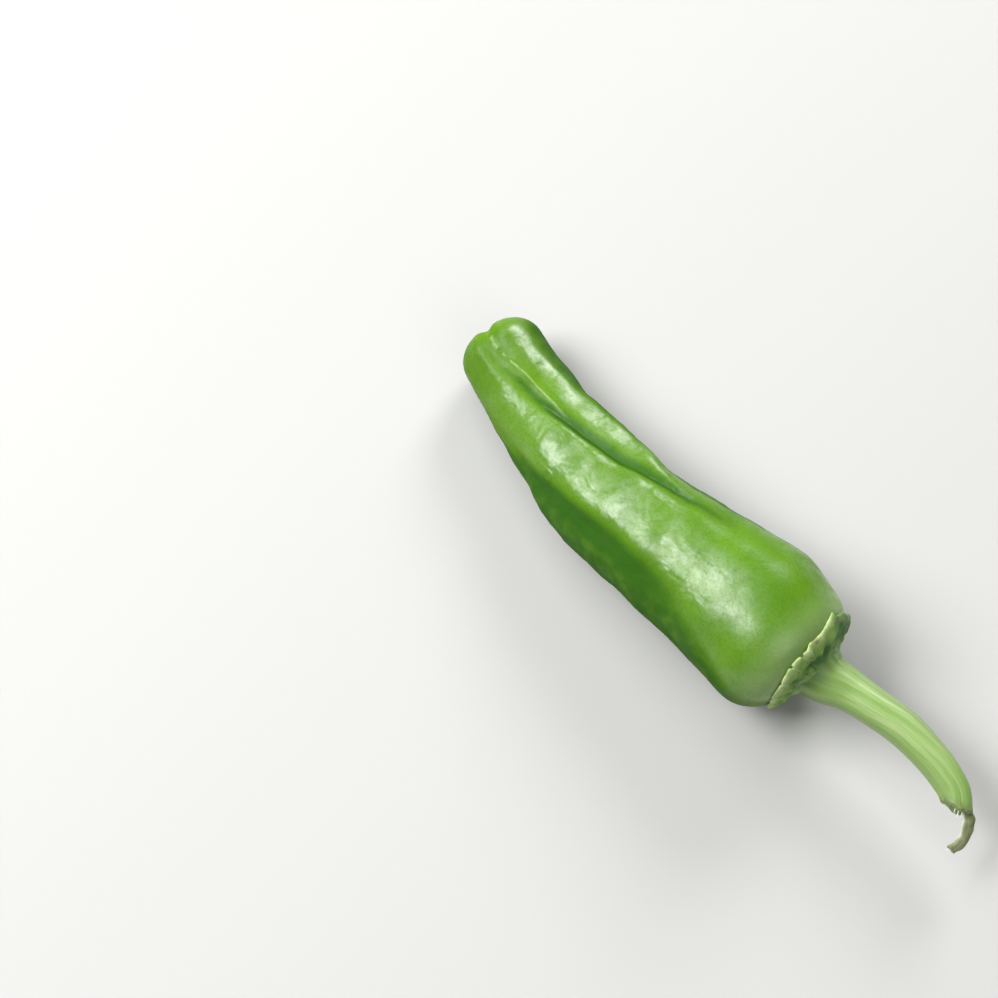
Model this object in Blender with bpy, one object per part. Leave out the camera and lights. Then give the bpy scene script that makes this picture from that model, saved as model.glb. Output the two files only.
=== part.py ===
"""A padron pepper, whole and as picked, lying on its side.

Three pieces that grew together: the pod, the calyx that caps its shoulder and the stem.
The shapes are worked out in millimetres in the pepper's own growing frame: X runs from the
blossom tip to the stem, Y across, Z up from the surface it lies on. The last step moves
them so that the origin is on that surface, under the middle of the whole pepper.
Angles round the pod are in degrees from straight up, positive towards +Y.
"""

import math

import bmesh
import bpy
import numpy as np

MM = 0.001
UP = np.array([0.0, 0.0, 1.0])

# The middle of the pepper's outline on the surface, which becomes the origin.
MIDDLE = (55.65, -1.15)

# Pod: x along it, then y and z of its middle line, and its radius.
POD_LINE = (
    (0.0, 1.3, 7.1, 7.3),
    (8.0, -0.3, 6.85, 7.2),
    (13.0, -1.3, 7.0, 7.35),
    (17.0, -2.3, 7.25, 7.35),
    (24.5, -3.5, 8.0, 8.2),
    (32.6, -4.25, 8.75, 9.15),
    (44.5, -3.5, 10.35, 10.0),
    (55.0, -2.1, 11.3, 10.85),
    (65.0, -0.75, 11.7, 12.15),
    (71.5, -0.85, 11.5, 12.15),
    (76.0, 0.35, 11.05, 12.15),
)
POD_LENGTH = POD_LINE[-1][0]
TIP_RADIUS = POD_LINE[0][3]
HEADING_REACH = 10.0

# Each end's cap: how far along the pod it reaches, and how square it is along and across.
TIP_CAP = (5.2, 2.2, 2.5)
SHOULDER_CAP = (13.0, 3.2, 4.8)
POD_RINGS = 76
COLUMNS_BETWEEN_GROOVES = (20, 16, 24)
CLOSER_TO_GROOVES = 0.45

# Grooves between the pod's lobes: x along it, angle round it, depth and half-width.
# The front one turns round the pod on its way from the tip to the shoulder.
FRONT_GROOVE = (
    (0.0, -15.0, 0.75, 1.2),
    (3.0, -15.0, 0.8, 1.7),
    (8.0, -13.0, 0.7, 2.4),
    (16.5, -2.0, 0.95, 1.9),
    (22.0, 8.0, 1.0, 1.4),
    (33.5, 26.0, 0.9, 1.3),
    (44.5, 34.5, 0.65, 1.4),
    (53.0, 37.5, 0.35, 1.8),
    (60.0, 39.0, 0.0, 2.2),
    (76.0, 44.0, 0.0, 2.0),
)
SIDE_GROOVE = (
    (0.0, -100.0, 0.0, 2.0),
    (10.0, -92.0, 0.0, 2.0),
    (22.0, -74.0, 0.45, 2.1),
    (32.6, -58.0, 0.85, 2.2),
    (44.0, -52.0, 0.8, 2.5),
    (53.0, -54.0, 0.45, 2.8),
    (61.0, -56.0, 0.0, 3.0),
    (76.0, -58.0, 0.0, 3.0),
)
UNDER_GROOVE = (
    (0.0, 168.0, 0.7, 1.0),
    (7.0, 170.0, 1.0, 1.4),
    (22.0, 172.0, 0.9, 1.6),
    (38.0, 176.0, 0.6, 1.8),
    (50.0, 180.0, 0.0, 2.0),
    (76.0, 184.0, 0.0, 2.0),
)
GROOVES = (FRONT_GROOVE, UNDER_GROOVE, SIDE_GROOVE)
GROOVE_POWER = 1.7

# Flat faces along the lobes: x along the pod, the angle of the face's middle, how far it is
# pressed in, and the angle of its edge. Past the edge the skin falls back to the round lobe.
RIGHT_FACE = (
    (0.0, 20.0, 0.0, 20.5),
    (5.0, 20.0, 0.0, 22.0),
    (12.0, 20.0, 0.05, 33.0),
    (17.0, 20.0, 0.15, 42.0),
    (22.0, 20.0, 0.25, 49.0),
    (28.0, 20.0, 0.3, 52.0),
    (34.0, 21.0, 0.3, 52.0),
    (38.0, 22.0, 0.2, 47.0),
    (44.0, 24.0, 0.0, 38.0),
    (52.0, 26.0, 0.0, 28.0),
    (76.0, 30.0, 0.0, 31.0),
)
LEFT_FACE = (
    (0.0, -24.0, 0.0, -32.0),
    (5.0, -24.0, 0.0, -38.0),
    (8.0, -23.0, 0.0, -35.0),
    (11.6, -22.0, 0.0, -27.0),
    (14.6, -21.0, 0.0, -13.0),
    (16.6, -20.0, 0.0, -8.0),
    (18.7, -20.0, 0.0, -5.0),
    (22.0, -20.0, 0.0, -14.0),
    (26.0, -20.0, 0.0, -19.0),
    (76.0, -20.0, 0.0, -19.0),
)
TIP_FACE = (
    (0.0, 20.0, 0.0, 7.0),
    (4.0, 20.0, 0.0, 6.0),
    (8.0, 21.0, 0.0, 8.0),
    (12.0, 22.0, 0.0, 14.0),
    (16.0, 22.0, 0.0, 20.0),
    (22.0, 22.0, 0.0, 21.5),
    (76.0, 22.0, 0.0, 21.5),
)
FACES = (RIGHT_FACE, LEFT_FACE, TIP_FACE)
FACE_SOFT = 2.5
FACE_FALL = 24.0
FACE_PRESS = (-0.4, 0.1)

# Broad swells and flats of the skin: x along it, angle round it, height and half-width.
FLATTENED_TOP = (
    (0.0, -15.0, 0.0, 4.0),
    (18.0, -14.0, -0.1, 4.0),
    (28.0, -9.0, -0.35, 4.5),
    (40.0, -8.0, -0.5, 5.0),
    (52.0, -12.0, -0.5, 5.5),
    (62.0, -18.0, -0.5, 5.5),
    (70.0, -15.0, -0.15, 5.5),
    (76.0, -10.0, 0.0, 5.5),
)
RIGHT_FLANK = (
    (0.0, 75.0, 0.0, 4.0),
    (10.0, 75.0, 0.0, 4.0),
    (14.0, 75.0, 0.2, 4.0),
    (18.0, 75.0, 0.65, 4.0),
    (22.0, 75.0, 0.75, 4.0),
    (26.0, 75.0, 0.5, 4.0),
    (31.0, 75.0, 0.2, 4.0),
    (37.0, 75.0, 0.0, 4.0),
    (76.0, 75.0, 0.0, 4.0),
)
SWELLS = (FLATTENED_TOP, RIGHT_FLANK)

# Slow waves of the pod's skin: height, waves along it, waves round it and start angle.
SKIN_WAVES = (
    (0.12, 4.0, 2.0, 20.0),
    (0.08, 7.0, 3.0, 140.0),
    (0.05, 11.0, 2.0, 250.0),
)
WAVES_FADE_IN = (4.0, 16.0)
WAVES_FADE_OUT = (54.0, 64.0)

# The lobe on the -Y side is this much smaller at the blossom tip.
SMALL_LOBE = 0.5
SMALL_LOBE_FADE = (2.0, 14.0)

# Calyx: a thin collar over the shoulder. Its edge is the angle round it and the radius there:
# the high places are the points of its sepals.
GROWN_GAP = 0.3
CALYX_RIM = 9.0
CALYX_EDGE = (
    (-115.0, 8.5),
    (-105.0, 9.0),
    (-95.0, 8.5),
    (-60.0, 8.85),
    (-45.0, 9.25),
    (-33.0, 9.6),
    (-30.0, 9.1),
    (-27.0, 9.6),
    (-21.0, 9.55),
    (-18.0, 8.95),
    (-15.0, 9.5),
    (-6.0, 9.75),
    (9.0, 9.5),
    (21.0, 9.8),
    (30.0, 10.5),
    (33.0, 10.0),
    (36.0, 9.9),
    (60.0, 9.4),
    (80.0, 9.2),
    (95.0, 8.5),
    (125.0, 8.6),
    (140.0, 9.5),
    (155.0, 8.6),
    (185.0, 8.5),
    (200.0, 9.4),
    (215.0, 8.6),
)
# How far the edge stands up from the skin: the angle round it and the lift.
CALYX_LIFT = (
    (-120.0, 0.1),
    (-105.0, 0.35),
    (-90.0, 0.05),
    (20.0, 0.1),
    (30.0, 0.35),
    (45.0, 0.3),
    (60.0, 0.55),
    (75.0, 0.6),
    (88.0, 0.4),
    (98.0, 0.15),
    (125.0, 0.05),
    (140.0, 0.3),
    (155.0, 0.05),
    (185.0, 0.05),
    (200.0, 0.3),
    (215.0, 0.05),
)
CALYX_SEAT = 4.6
CALYX_INNERMOST = 0.25
CALYX_THICK = ((0.0, 0.75), (CALYX_SEAT / CALYX_RIM, 0.75), (0.78, 0.7), (1.0, 0.8))
CALYX_FOLDS = 10.0
CALYX_FOLD_HEIGHT = 0.14
CALYX_COLUMNS = 120
CALYX_RINGS = 8

# Stem: x, y and z of its middle line, and its radius. It flares into the calyx.
STEM_LINE = (
    (77.36, 0.52, 10.97, 4.3),
    (78.9, 0.71, 10.87, 4.1),
    (82.3, 1.8, 11.05, 3.3),
    (87.5, 2.9, 11.4, 2.9),
    (92.3, 3.9, 11.4, 2.85),
    (97.3, 4.1, 11.3, 2.7),
    (101.8, 3.8, 11.0, 2.6),
    (104.9, 3.0, 10.6, 2.45),
    (107.2, 1.45, 10.25, 2.2),
)
STEM_RIBS = 5
STEM_RIB_HEIGHT = 0.13
STEM_RIB_TURN = 40.0
STEM_COLUMNS = 30
STEM_RINGS = 26
STEM_STEP = 0.01
STEM_END_DEPTH = 0.5
STEM_END_RIM = 0.72

# The stem tore slantwise: the share of its length by which its -Y side is shorter, and how soon that
# falls off towards the other side.
STEM_SLANT = 0.065
STEM_SLANT_BEND = 2.5

# Torn strip of bark that still hangs from the stem's end: x, y, z, half-width and
# half-thickness.
STRIP_LINE = (
    (105.9, 3.3, 10.0, 0.7, 0.5),
    (107.3, 3.0, 9.75, 0.85, 0.5),
    (108.5, 2.4, 9.3, 0.9, 0.42),
    (109.4, 1.6, 8.8, 0.88, 0.4),
    (110.1, 0.5, 8.2, 0.85, 0.4),
    (110.5, -0.8, 7.7, 0.85, 0.4),
    (110.3, -2.6, 7.3, 0.8, 0.35),
)
STRIP_SIDES = 10
STRIP_RINGS = 16

POD_COLOUR = (0.13, 0.33, 0.035, 1.0)
CALYX_COLOUR = (0.20, 0.36, 0.10, 1.0)
STEM_COLOUR = (0.33, 0.50, 0.13, 1.0)


def through(rows, x):
    """The values at x on a smooth curve through rows that each hold a place and its values."""
    table = np.array(rows, float)
    places, values = table[:, 0], table[:, 1:]
    slopes = np.gradient(values, places, axis=0)
    i = np.clip(np.searchsorted(places, x) - 1, 0, len(places) - 2)
    span = (places[i + 1] - places[i])[:, None]
    t = (np.asarray(x, float)[:, None] - places[i][:, None]) / span
    return (
        (1 + 2 * t) * (1 - t) ** 2 * values[i]
        + t * (1 - t) ** 2 * span * slopes[i]
        + t * t * (3 - 2 * t) * values[i + 1]
        + t * t * (t - 1) * span * slopes[i + 1]
    )


def fade(low, high, x):
    """0 below low, 1 above high and smooth between them."""
    t = np.clip((x - low) / (high - low), 0, 1)
    return t * t * (3 - 2 * t)


def frames(along):
    """The unit vectors along each heading, across it to the left and above it."""
    along = along / np.linalg.norm(along, axis=1, keepdims=True)
    across = np.cross(UP, along)
    across /= np.linalg.norm(across, axis=1, keepdims=True)
    return along, across, np.cross(along, across)


def pod_rings():
    """Where the pod's rings are: closer together towards both ends, where it rounds over."""
    turn = np.linspace(0, math.pi, POD_RINGS)
    return POD_LENGTH * (1 - np.cos(turn)) / 2


def cap(distance, shape):
    """The share of the full radius at a distance from an end: a superellipse over the cap's reach."""
    reach, along, across = shape
    part = np.clip(1 - distance / reach, 0, 1)
    return (1 - part**along) ** (1 / across)


def pod_radius(x):
    """The pod's radius, rounded over at the tip and at the shoulder."""
    return through(POD_LINE, x)[:, 2] * cap(x, TIP_CAP) * cap(POD_LENGTH - x, SHOULDER_CAP)


def pod_angles(x):
    """Each column's angle round the pod at x: three follow the grooves, and more lie close to those."""
    grooves = [np.radians(through(rows, x)[:, 0]) for rows in GROOVES]
    grooves.append(grooves[0] + 2 * math.pi)
    grooves[2] = grooves[2] + 2 * math.pi
    columns = []
    for start, end, count in zip(grooves, grooves[1:], COLUMNS_BETWEEN_GROOVES):
        even = np.arange(count) / count
        bunched = (1 - np.cos(math.pi * even)) / 2
        share = even + CLOSER_TO_GROOVES * (bunched - even)
        columns.append(start[:, None] + (end - start)[:, None] * share)
    return np.concatenate(columns, axis=1)


def angle_off(angle, line):
    """How far each angle lies from each ring's line, in radians, by the shorter way."""
    return (angle - np.radians(line)[:, None] + math.pi) % (2 * math.pi) - math.pi


def groove_depth(x, angle, radius):
    """How far the grooves cut in: deepest on their lines, and all of them meet at the blossom tip."""
    cut = np.zeros_like(angle)
    for rows in GROOVES:
        middle, depth, width = through(rows, x).T
        off = np.minimum(np.abs(angle_off(angle, middle)), math.pi / 2)
        away = radius[:, None] * off / width[:, None]
        cut = np.maximum(cut, np.maximum(depth, 0)[:, None] * np.exp(-(away**GROOVE_POWER)))
    return cut


def flat_face(rows, x, angle, radius):
    """How far a flat face stands out from the round lobe: up to its edge, and less beyond it."""
    middle, press, edge = through(rows, x).T
    turn = np.sign(edge - middle)[:, None] * angle_off(angle, middle)
    reach = np.radians(np.abs(edge - middle))[:, None]
    soft = math.radians(FACE_SOFT)
    held = np.maximum(turn - soft * np.logaddexp(0, (turn - reach) / soft), 0)
    rise = radius[:, None] * (1 / np.cos(held) - 1) - press[:, None] * fade(*FACE_PRESS, turn)
    return rise * (1 - fade(0, math.radians(FACE_FALL), turn - reach))


def swell(rows, x, angle, radius):
    """A broad bell across a line along the pod, as high as the rows say."""
    line, height, width = through(rows, x).T
    off = radius[:, None] * angle_off(angle, line) / width[:, None]
    return height[:, None] * np.exp(-(off**2))


def skin_waves(x, angle):
    """The slow waves of the skin, which die out at the tip and on the smooth shoulder."""
    along = 2 * math.pi * (x / POD_LENGTH)[:, None]
    height = sum(
        tall * np.sin(many * along + round_it * angle + math.radians(start))
        for tall, many, round_it, start in SKIN_WAVES
    )
    keep = fade(*WAVES_FADE_IN, x) * (1 - fade(*WAVES_FADE_OUT, x))
    return height * keep[:, None]


def small_lobe(x, angle, radius):
    """How much the lobe on the -Y side is drawn in near the blossom tip."""
    side = np.sin(angle) * (radius / TIP_RADIUS)[:, None]
    return SMALL_LOBE * (1 - fade(*SMALL_LOBE_FADE, x))[:, None] * (1 - side) / 2


def outward(points, middle):
    """Each grid point's unit normal, pointing away from the middle line."""
    ahead = np.gradient(points, axis=0)
    sideways = np.roll(points, -1, axis=1) - np.roll(points, 1, axis=1)
    normal = np.cross(sideways, ahead)
    length = np.linalg.norm(normal, axis=2, keepdims=True)
    normal = normal / np.maximum(length, 1e-9)
    away = points - middle[:, None, :]
    flip = np.sign((normal * away).sum(axis=2, keepdims=True))
    return normal * np.where(flip == 0, 1, flip)


def pod_middle(x):
    """The pod's middle line at x."""
    return np.column_stack([x, through(POD_LINE, x)[:, :2]])


def pod_frames(x):
    """The unit vectors along, across and above the pod at x, from the way its middle line heads."""
    ahead = pod_middle(np.minimum(x + HEADING_REACH, POD_LENGTH))
    behind = pod_middle(np.maximum(x - HEADING_REACH, 0))
    return frames(ahead - behind)


def resting(points):
    """The points, with what would sink below the surface pressed flat on it as small resting spots."""
    return np.concatenate([points[..., :2], np.maximum(points[..., 2:], 0)], axis=-1)


def pod_points():
    """The pod's rings of points, from the blossom tip to under the stem."""
    x = pod_rings()
    middle = pod_middle(x)
    along, across, above = pod_frames(x)
    radius = pod_radius(x)
    angle = pod_angles(x)
    points = middle[:, None, :] + radius[:, None, None] * (
        np.sin(angle)[..., None] * across[:, None, :] + np.cos(angle)[..., None] * above[:, None, :]
    )
    normal = outward(points, middle)
    normal[0], normal[-1] = -along[0], along[-1]
    move = skin_waves(x, angle) - groove_depth(x, angle, radius) - small_lobe(x, angle, radius)
    move += sum(flat_face(rows, x, angle, radius) for rows in FACES)
    move += sum(swell(rows, x, angle, radius) for rows in SWELLS)
    return resting(points + normal * move[..., None])


def shoulder_frame():
    """The point at the pod's stem end and the unit vectors along, across and above there."""
    x = np.array([POD_LENGTH])
    return tuple(row[0] for row in (pod_middle(x), *pod_frames(x)))


def shoulder_profile(radius):
    """How far the shoulder's skin lies behind the stem end at each radius, and its normal's two parts."""
    full = POD_LINE[-1][3]
    reach, along, across = SHOULDER_CAP

    def behind(r):
        return reach * (1 - (1 - (r / full) ** across) ** (1 / along))

    step = 0.01
    slope = (behind(radius + step) - behind(radius - step)) / (2 * step)
    size = np.sqrt(1 + slope**2)
    return behind(radius), slope / size, 1 / size


def calyx_points():
    """The calyx's rings: from the middle of its inner side to the edge, and back over its outer side."""
    end, along, across, above = shoulder_frame()
    angle = np.linspace(0, 2 * math.pi, CALYX_COLUMNS, endpoint=False)
    places, radii = np.array(CALYX_EDGE).T
    rim = np.interp(np.degrees(angle), places, radii, period=360)
    places, lifts = np.array(CALYX_LIFT).T
    edge_lift = np.interp(np.degrees(angle), places, lifts, period=360)
    seat = CALYX_SEAT / CALYX_RIM
    share = np.concatenate([[CALYX_INNERMOST], np.linspace(seat, 1, CALYX_RINGS)])
    spokes = np.sin(angle)[:, None] * across + np.cos(angle)[:, None] * above

    def ring(part, lift):
        radius = part * rim
        back, out, up = shoulder_profile(radius)
        lift = lift + edge_lift * fade(seat, 1, part)
        return end + (radius + lift * out)[:, None] * spokes + (lift * up - back)[:, None] * along

    inner = [ring(part, GROWN_GAP) for part in share]
    outer = []
    for part, thick in zip(share, through(CALYX_THICK, share)[:, 0]):
        strength = fade(seat, (seat + 1) / 2, part) * (1 - fade((seat + 1) / 2, 1, part))
        fold = CALYX_FOLD_HEIGHT * strength * np.sin(CALYX_FOLDS * angle)
        outer.append(ring(part, GROWN_GAP + thick + fold))
    return np.array(inner + outer[::-1])


def stem_points():
    """The stem's rings, ribbed along its length, with a hollowed broken end."""
    line = np.array(STEM_LINE, float)
    rows = np.column_stack([np.linspace(0, 1, len(line)), line])
    angle = np.linspace(0, 2 * math.pi, STEM_COLUMNS, endpoint=False)
    kept = 1 - STEM_SLANT * ((1 - np.sin(angle)) / 2) ** STEM_SLANT_BEND
    share = np.linspace(0, 1, STEM_RINGS)[:, None] * kept
    flat = share.ravel()
    middle, radius = np.split(through(rows, flat), [3], axis=1)
    heading = through(rows, np.minimum(flat + STEM_STEP, 1)) - through(rows, flat - STEM_STEP)
    _, across, above = frames(heading[:, :3])
    turned = angle - np.radians(STEM_RIB_TURN) * share
    ribbed = radius + STEM_RIB_HEIGHT * np.cos(STEM_RIBS * turned).reshape(-1, 1)
    around = np.broadcast_to(angle, share.shape).reshape(-1, 1)
    spokes = np.sin(around) * across + np.cos(around) * above
    rings = (middle + ribbed * spokes).reshape(STEM_RINGS, STEM_COLUMNS, 3)
    core = rings[-1].mean(axis=0)
    ahead = np.cross(across[-1], above[-1])
    broken = core - STEM_END_DEPTH * ahead + STEM_END_RIM * (rings[-1] - core)
    return np.concatenate([rings, broken[None]])


def strip_points():
    """The torn strip's rings: a flat oval carried along its hanging line."""
    line = np.array(STRIP_LINE, float)
    rows = np.column_stack([np.linspace(0, 1, len(line)), line])
    values = through(rows, np.linspace(0, 1, STRIP_RINGS))
    middle, wide, thick = values[:, :3], values[:, 3], values[:, 4]
    _, across, above = frames(np.gradient(middle, axis=0))
    angle = np.linspace(0, 2 * math.pi, STRIP_SIDES, endpoint=False)
    return middle[:, None, :] + (
        (wide[:, None] * np.sin(angle))[..., None] * across[:, None, :]
        + (thick[:, None] * np.cos(angle))[..., None] * above[:, None, :]
    )


def skinned(rings):
    """A closed bmesh in metres over rings of points, each end ring drawn together to its middle."""
    bm = bmesh.new()
    placed = (rings - np.array([MIDDLE[0], MIDDLE[1], 0.0])) * MM
    loops = [[bm.verts.new(point) for point in ring] for ring in placed]
    count = len(loops[0])
    for near, far in zip(loops, loops[1:]):
        for i in range(count):
            j = (i + 1) % count
            bm.faces.new((near[i], near[j], far[j], far[i]))
    for loop, ring in ((loops[0][::-1], placed[0]), (loops[-1], placed[-1])):
        pole = bm.verts.new(ring.mean(axis=0))
        for i in range(count):
            bm.faces.new((loop[i], loop[(i + 1) % count], pole))
    bmesh.ops.remove_doubles(bm, verts=bm.verts, dist=0.01 * MM)
    bmesh.ops.recalc_face_normals(bm, faces=bm.faces)
    return bm


def finish(name, colour, roughness):
    """A Principled material with one plain colour."""
    material = bpy.data.materials.new(name)
    material.use_nodes = True
    shader = material.node_tree.nodes["Principled BSDF"]
    shader.inputs["Base Color"].default_value = colour
    shader.inputs["Roughness"].default_value = roughness
    shader.inputs["Metallic"].default_value = 0.0
    return material


def piece(name, bm, material):
    """The bmesh as a named object, shaded smooth, with its own material."""
    mesh = bpy.data.meshes.new(name)
    bm.to_mesh(mesh)
    bm.free()
    mesh.shade_smooth()
    mesh.materials.append(material)
    made = bpy.data.objects.new(name, mesh)
    bpy.context.scene.collection.objects.link(made)
    return made


def join(body, extra):
    """Fuses the extra object into the body and removes it."""
    union = body.modifiers.new("grown_together", "BOOLEAN")
    union.operation = "UNION"
    union.solver = "EXACT"
    union.object = extra
    graph = bpy.context.evaluated_depsgraph_get()
    mesh = bpy.data.meshes.new_from_object(body.evaluated_get(graph))
    body.modifiers.clear()
    body.data = mesh
    bpy.data.objects.remove(extra)


def make_pod():
    """The pod, with the flat spots that it rests on."""
    return piece("pod", skinned(pod_points()), finish("pod_skin", POD_COLOUR, 0.28))


def make_calyx():
    """The toothed cap of grown-together sepals over the pod's shoulder."""
    return piece("calyx", skinned(calyx_points()), finish("calyx_green", CALYX_COLOUR, 0.6))


def make_stem():
    """The ribbed stem and the torn strip that hangs from its end, as one solid."""
    green = finish("stem_green", STEM_COLOUR, 0.5)
    stem = piece("stem", skinned(stem_points()), green)
    join(stem, piece("torn_strip", skinned(strip_points()), green))
    return stem


def main():
    """Clears the scene and builds the three pieces."""
    for old in list(bpy.data.objects):
        bpy.data.objects.remove(old)
    make_pod()
    make_calyx()
    make_stem()


main()
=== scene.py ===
"""The looks of a padron pepper that lies on its side: a glossy lobed pod, its calyx and its stem.

Shapes are worked out in millimetres in the pepper's own growing frame: X runs from the blossom
tip to the stem, Y across, Z up from the surface. Angles round the pod are in degrees from
straight up, positive towards +Y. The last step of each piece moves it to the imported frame.
"""

import logging
import math
from dataclasses import dataclass, field
from enum import Enum

import bpy
import numpy as np
from mathutils import Matrix, Vector


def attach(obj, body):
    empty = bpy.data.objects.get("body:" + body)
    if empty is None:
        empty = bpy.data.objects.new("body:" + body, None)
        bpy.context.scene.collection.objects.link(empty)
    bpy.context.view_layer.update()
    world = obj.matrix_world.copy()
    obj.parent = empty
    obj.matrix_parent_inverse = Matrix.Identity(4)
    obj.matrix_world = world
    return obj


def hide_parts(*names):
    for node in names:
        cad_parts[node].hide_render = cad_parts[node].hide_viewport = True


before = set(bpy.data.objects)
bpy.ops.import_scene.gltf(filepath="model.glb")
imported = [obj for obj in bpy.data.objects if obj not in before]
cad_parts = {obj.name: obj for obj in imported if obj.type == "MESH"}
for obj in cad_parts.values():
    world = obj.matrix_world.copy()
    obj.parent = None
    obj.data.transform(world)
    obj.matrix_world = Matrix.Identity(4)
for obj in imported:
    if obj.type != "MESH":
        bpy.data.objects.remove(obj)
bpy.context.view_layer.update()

log = logging.getLogger("padron_pepper")

MM = 0.001
UP = np.array([0.0, 0.0, 1.0])
MIDDLE = np.array([55.65, -1.15, 0.0])
RIPPLE_SPREAD = (0.7, 1.4)

Rows = tuple[tuple[float, ...], ...]
Vector3 = tuple[float, float, float]


class Slot(Enum):
    """The record's material slots."""

    POD = "pod_skin"
    CALYX = "calyx_green"
    STEM = "stem_green"


def through(rows: Rows, x: np.ndarray) -> np.ndarray:
    """Reads a table at x on a smooth curve: cubic Hermite, with each row's slope from its neighbours.

    Args:
        rows: the table, whose rows each hold a place and then its values.
        x: the places to read.

    Returns:
        One row of values for each place.
    """
    table = np.array(rows, float)
    places, values = table[:, 0], table[:, 1:]
    slopes = np.gradient(values, places, axis=0)
    i = np.clip(np.searchsorted(places, x) - 1, 0, len(places) - 2)
    span = (places[i + 1] - places[i])[:, None]
    t = (np.asarray(x, float)[:, None] - places[i][:, None]) / span
    return (
        (1 + 2 * t) * (1 - t) ** 2 * values[i]
        + t * (1 - t) ** 2 * span * slopes[i]
        + t * t * (3 - 2 * t) * values[i + 1]
        + t * t * (t - 1) * span * slopes[i + 1]
    )


def fade(low: float, high: float, x: np.ndarray) -> np.ndarray:
    """Returns 0 below low and 1 above high, with 3t^2 - 2t^3 between them."""
    t = np.clip((x - low) / (high - low), 0, 1)
    return t * t * (3 - 2 * t)


def hill(distance: np.ndarray, width: float | np.ndarray) -> np.ndarray:
    """Returns the bell exp(-(distance / width)^2)."""
    return np.exp(-((distance / width) ** 2))


def angle_off(angle: np.ndarray, line: np.ndarray) -> np.ndarray:
    """Returns how far each angle lies from each ring's line, in radians, by the shorter way."""
    return (angle - np.radians(line)[:, None] + math.pi) % (2 * math.pi) - math.pi


def ripple(points: np.ndarray, wavelength: float, seed: int, waves: int = 40) -> np.ndarray:
    """A smooth random height of about -1 to 1 that is the same wherever two surfaces meet.

    It is the sum of cosines over the points in seeded random directions, lengths and phases,
    divided by the root of half their number.

    Args:
        points: places in millimetres, with x, y and z last.
        wavelength: what the waves' lengths are spread about, in millimetres.
        seed: which pattern.
        waves: how many cosines are added.

    Returns:
        The height at each point.
    """
    draw = np.random.default_rng(seed)
    heading = draw.normal(size=(waves, 3))
    heading /= np.linalg.norm(heading, axis=1, keepdims=True)
    length = wavelength * draw.uniform(*RIPPLE_SPREAD, waves)
    turns = points @ (heading / length[:, None]).T + draw.uniform(0, 1, waves)
    return np.cos(2 * math.pi * turns).sum(axis=-1) * math.sqrt(2 / waves)


def frames(along: np.ndarray) -> tuple[np.ndarray, np.ndarray, np.ndarray]:
    """Unit vectors of a path: across is up x along, and above is along x across.

    Args:
        along: the path's headings, of any length.

    Returns:
        The unit vectors along each heading, across it to the left and above it.
    """
    along = along / np.linalg.norm(along, axis=1, keepdims=True)
    across = np.cross(UP, along)
    across /= np.linalg.norm(across, axis=1, keepdims=True)
    return along, across, np.cross(along, across)


def spokes(angle: np.ndarray, across: np.ndarray, above: np.ndarray) -> np.ndarray:
    """Returns sin(angle) across + cos(angle) above, for each ring's angles and its own two vectors."""
    return (
        np.sin(angle)[..., None] * across[:, None, :]
        + np.cos(angle)[..., None] * above[:, None, :]
    )


def outward(points: np.ndarray, middle: np.ndarray) -> np.ndarray:
    """Unit normals of a grid of rings: the cross product of its two directions, away from its middle.

    Args:
        points: the rings of points.
        middle: each ring's middle point.

    Returns:
        One normal for each point.
    """
    ahead = np.gradient(points, axis=0)
    sideways = np.roll(points, -1, axis=1) - np.roll(points, 1, axis=1)
    normal = np.cross(sideways, ahead)
    normal /= np.maximum(np.linalg.norm(normal, axis=2, keepdims=True), 1e-9)
    away = (normal * (points - middle[:, None, :])).sum(axis=2, keepdims=True)
    return np.where(away < 0, -normal, normal)


def faces_between(rings: int, columns: int, first: int, closed: bool) -> np.ndarray:
    """Corners of the quads between neighbouring rings of a grid that is numbered ring by ring.

    Args:
        rings: how many rings.
        columns: how many points in each.
        first: the number of the grid's first point.
        closed: whether the last ring joins the first.

    Returns:
        Four corners for each quad.
    """
    ring = np.arange(rings if closed else rings - 1)[:, None]
    column = np.arange(columns)[None, :]
    near = ring * columns
    far = (ring + 1) % rings * columns
    aside = (column + 1) % columns
    corners = (near + column, near + aside, far + aside, far + column)
    return first + np.stack([corner.ravel() for corner in corners], axis=1)


def fan(ring_start: int, columns: int, pole: int) -> np.ndarray:
    """Corners of the triangles from a ring of points to its pole.

    Args:
        ring_start: the number of the ring's first point.
        columns: how many points it has.
        pole: the pole's number.

    Returns:
        Three corners for each triangle.
    """
    column = np.arange(columns)
    aside = (column + 1) % columns
    return np.stack([ring_start + column, ring_start + aside, np.full(columns, pole)], axis=1)


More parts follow.
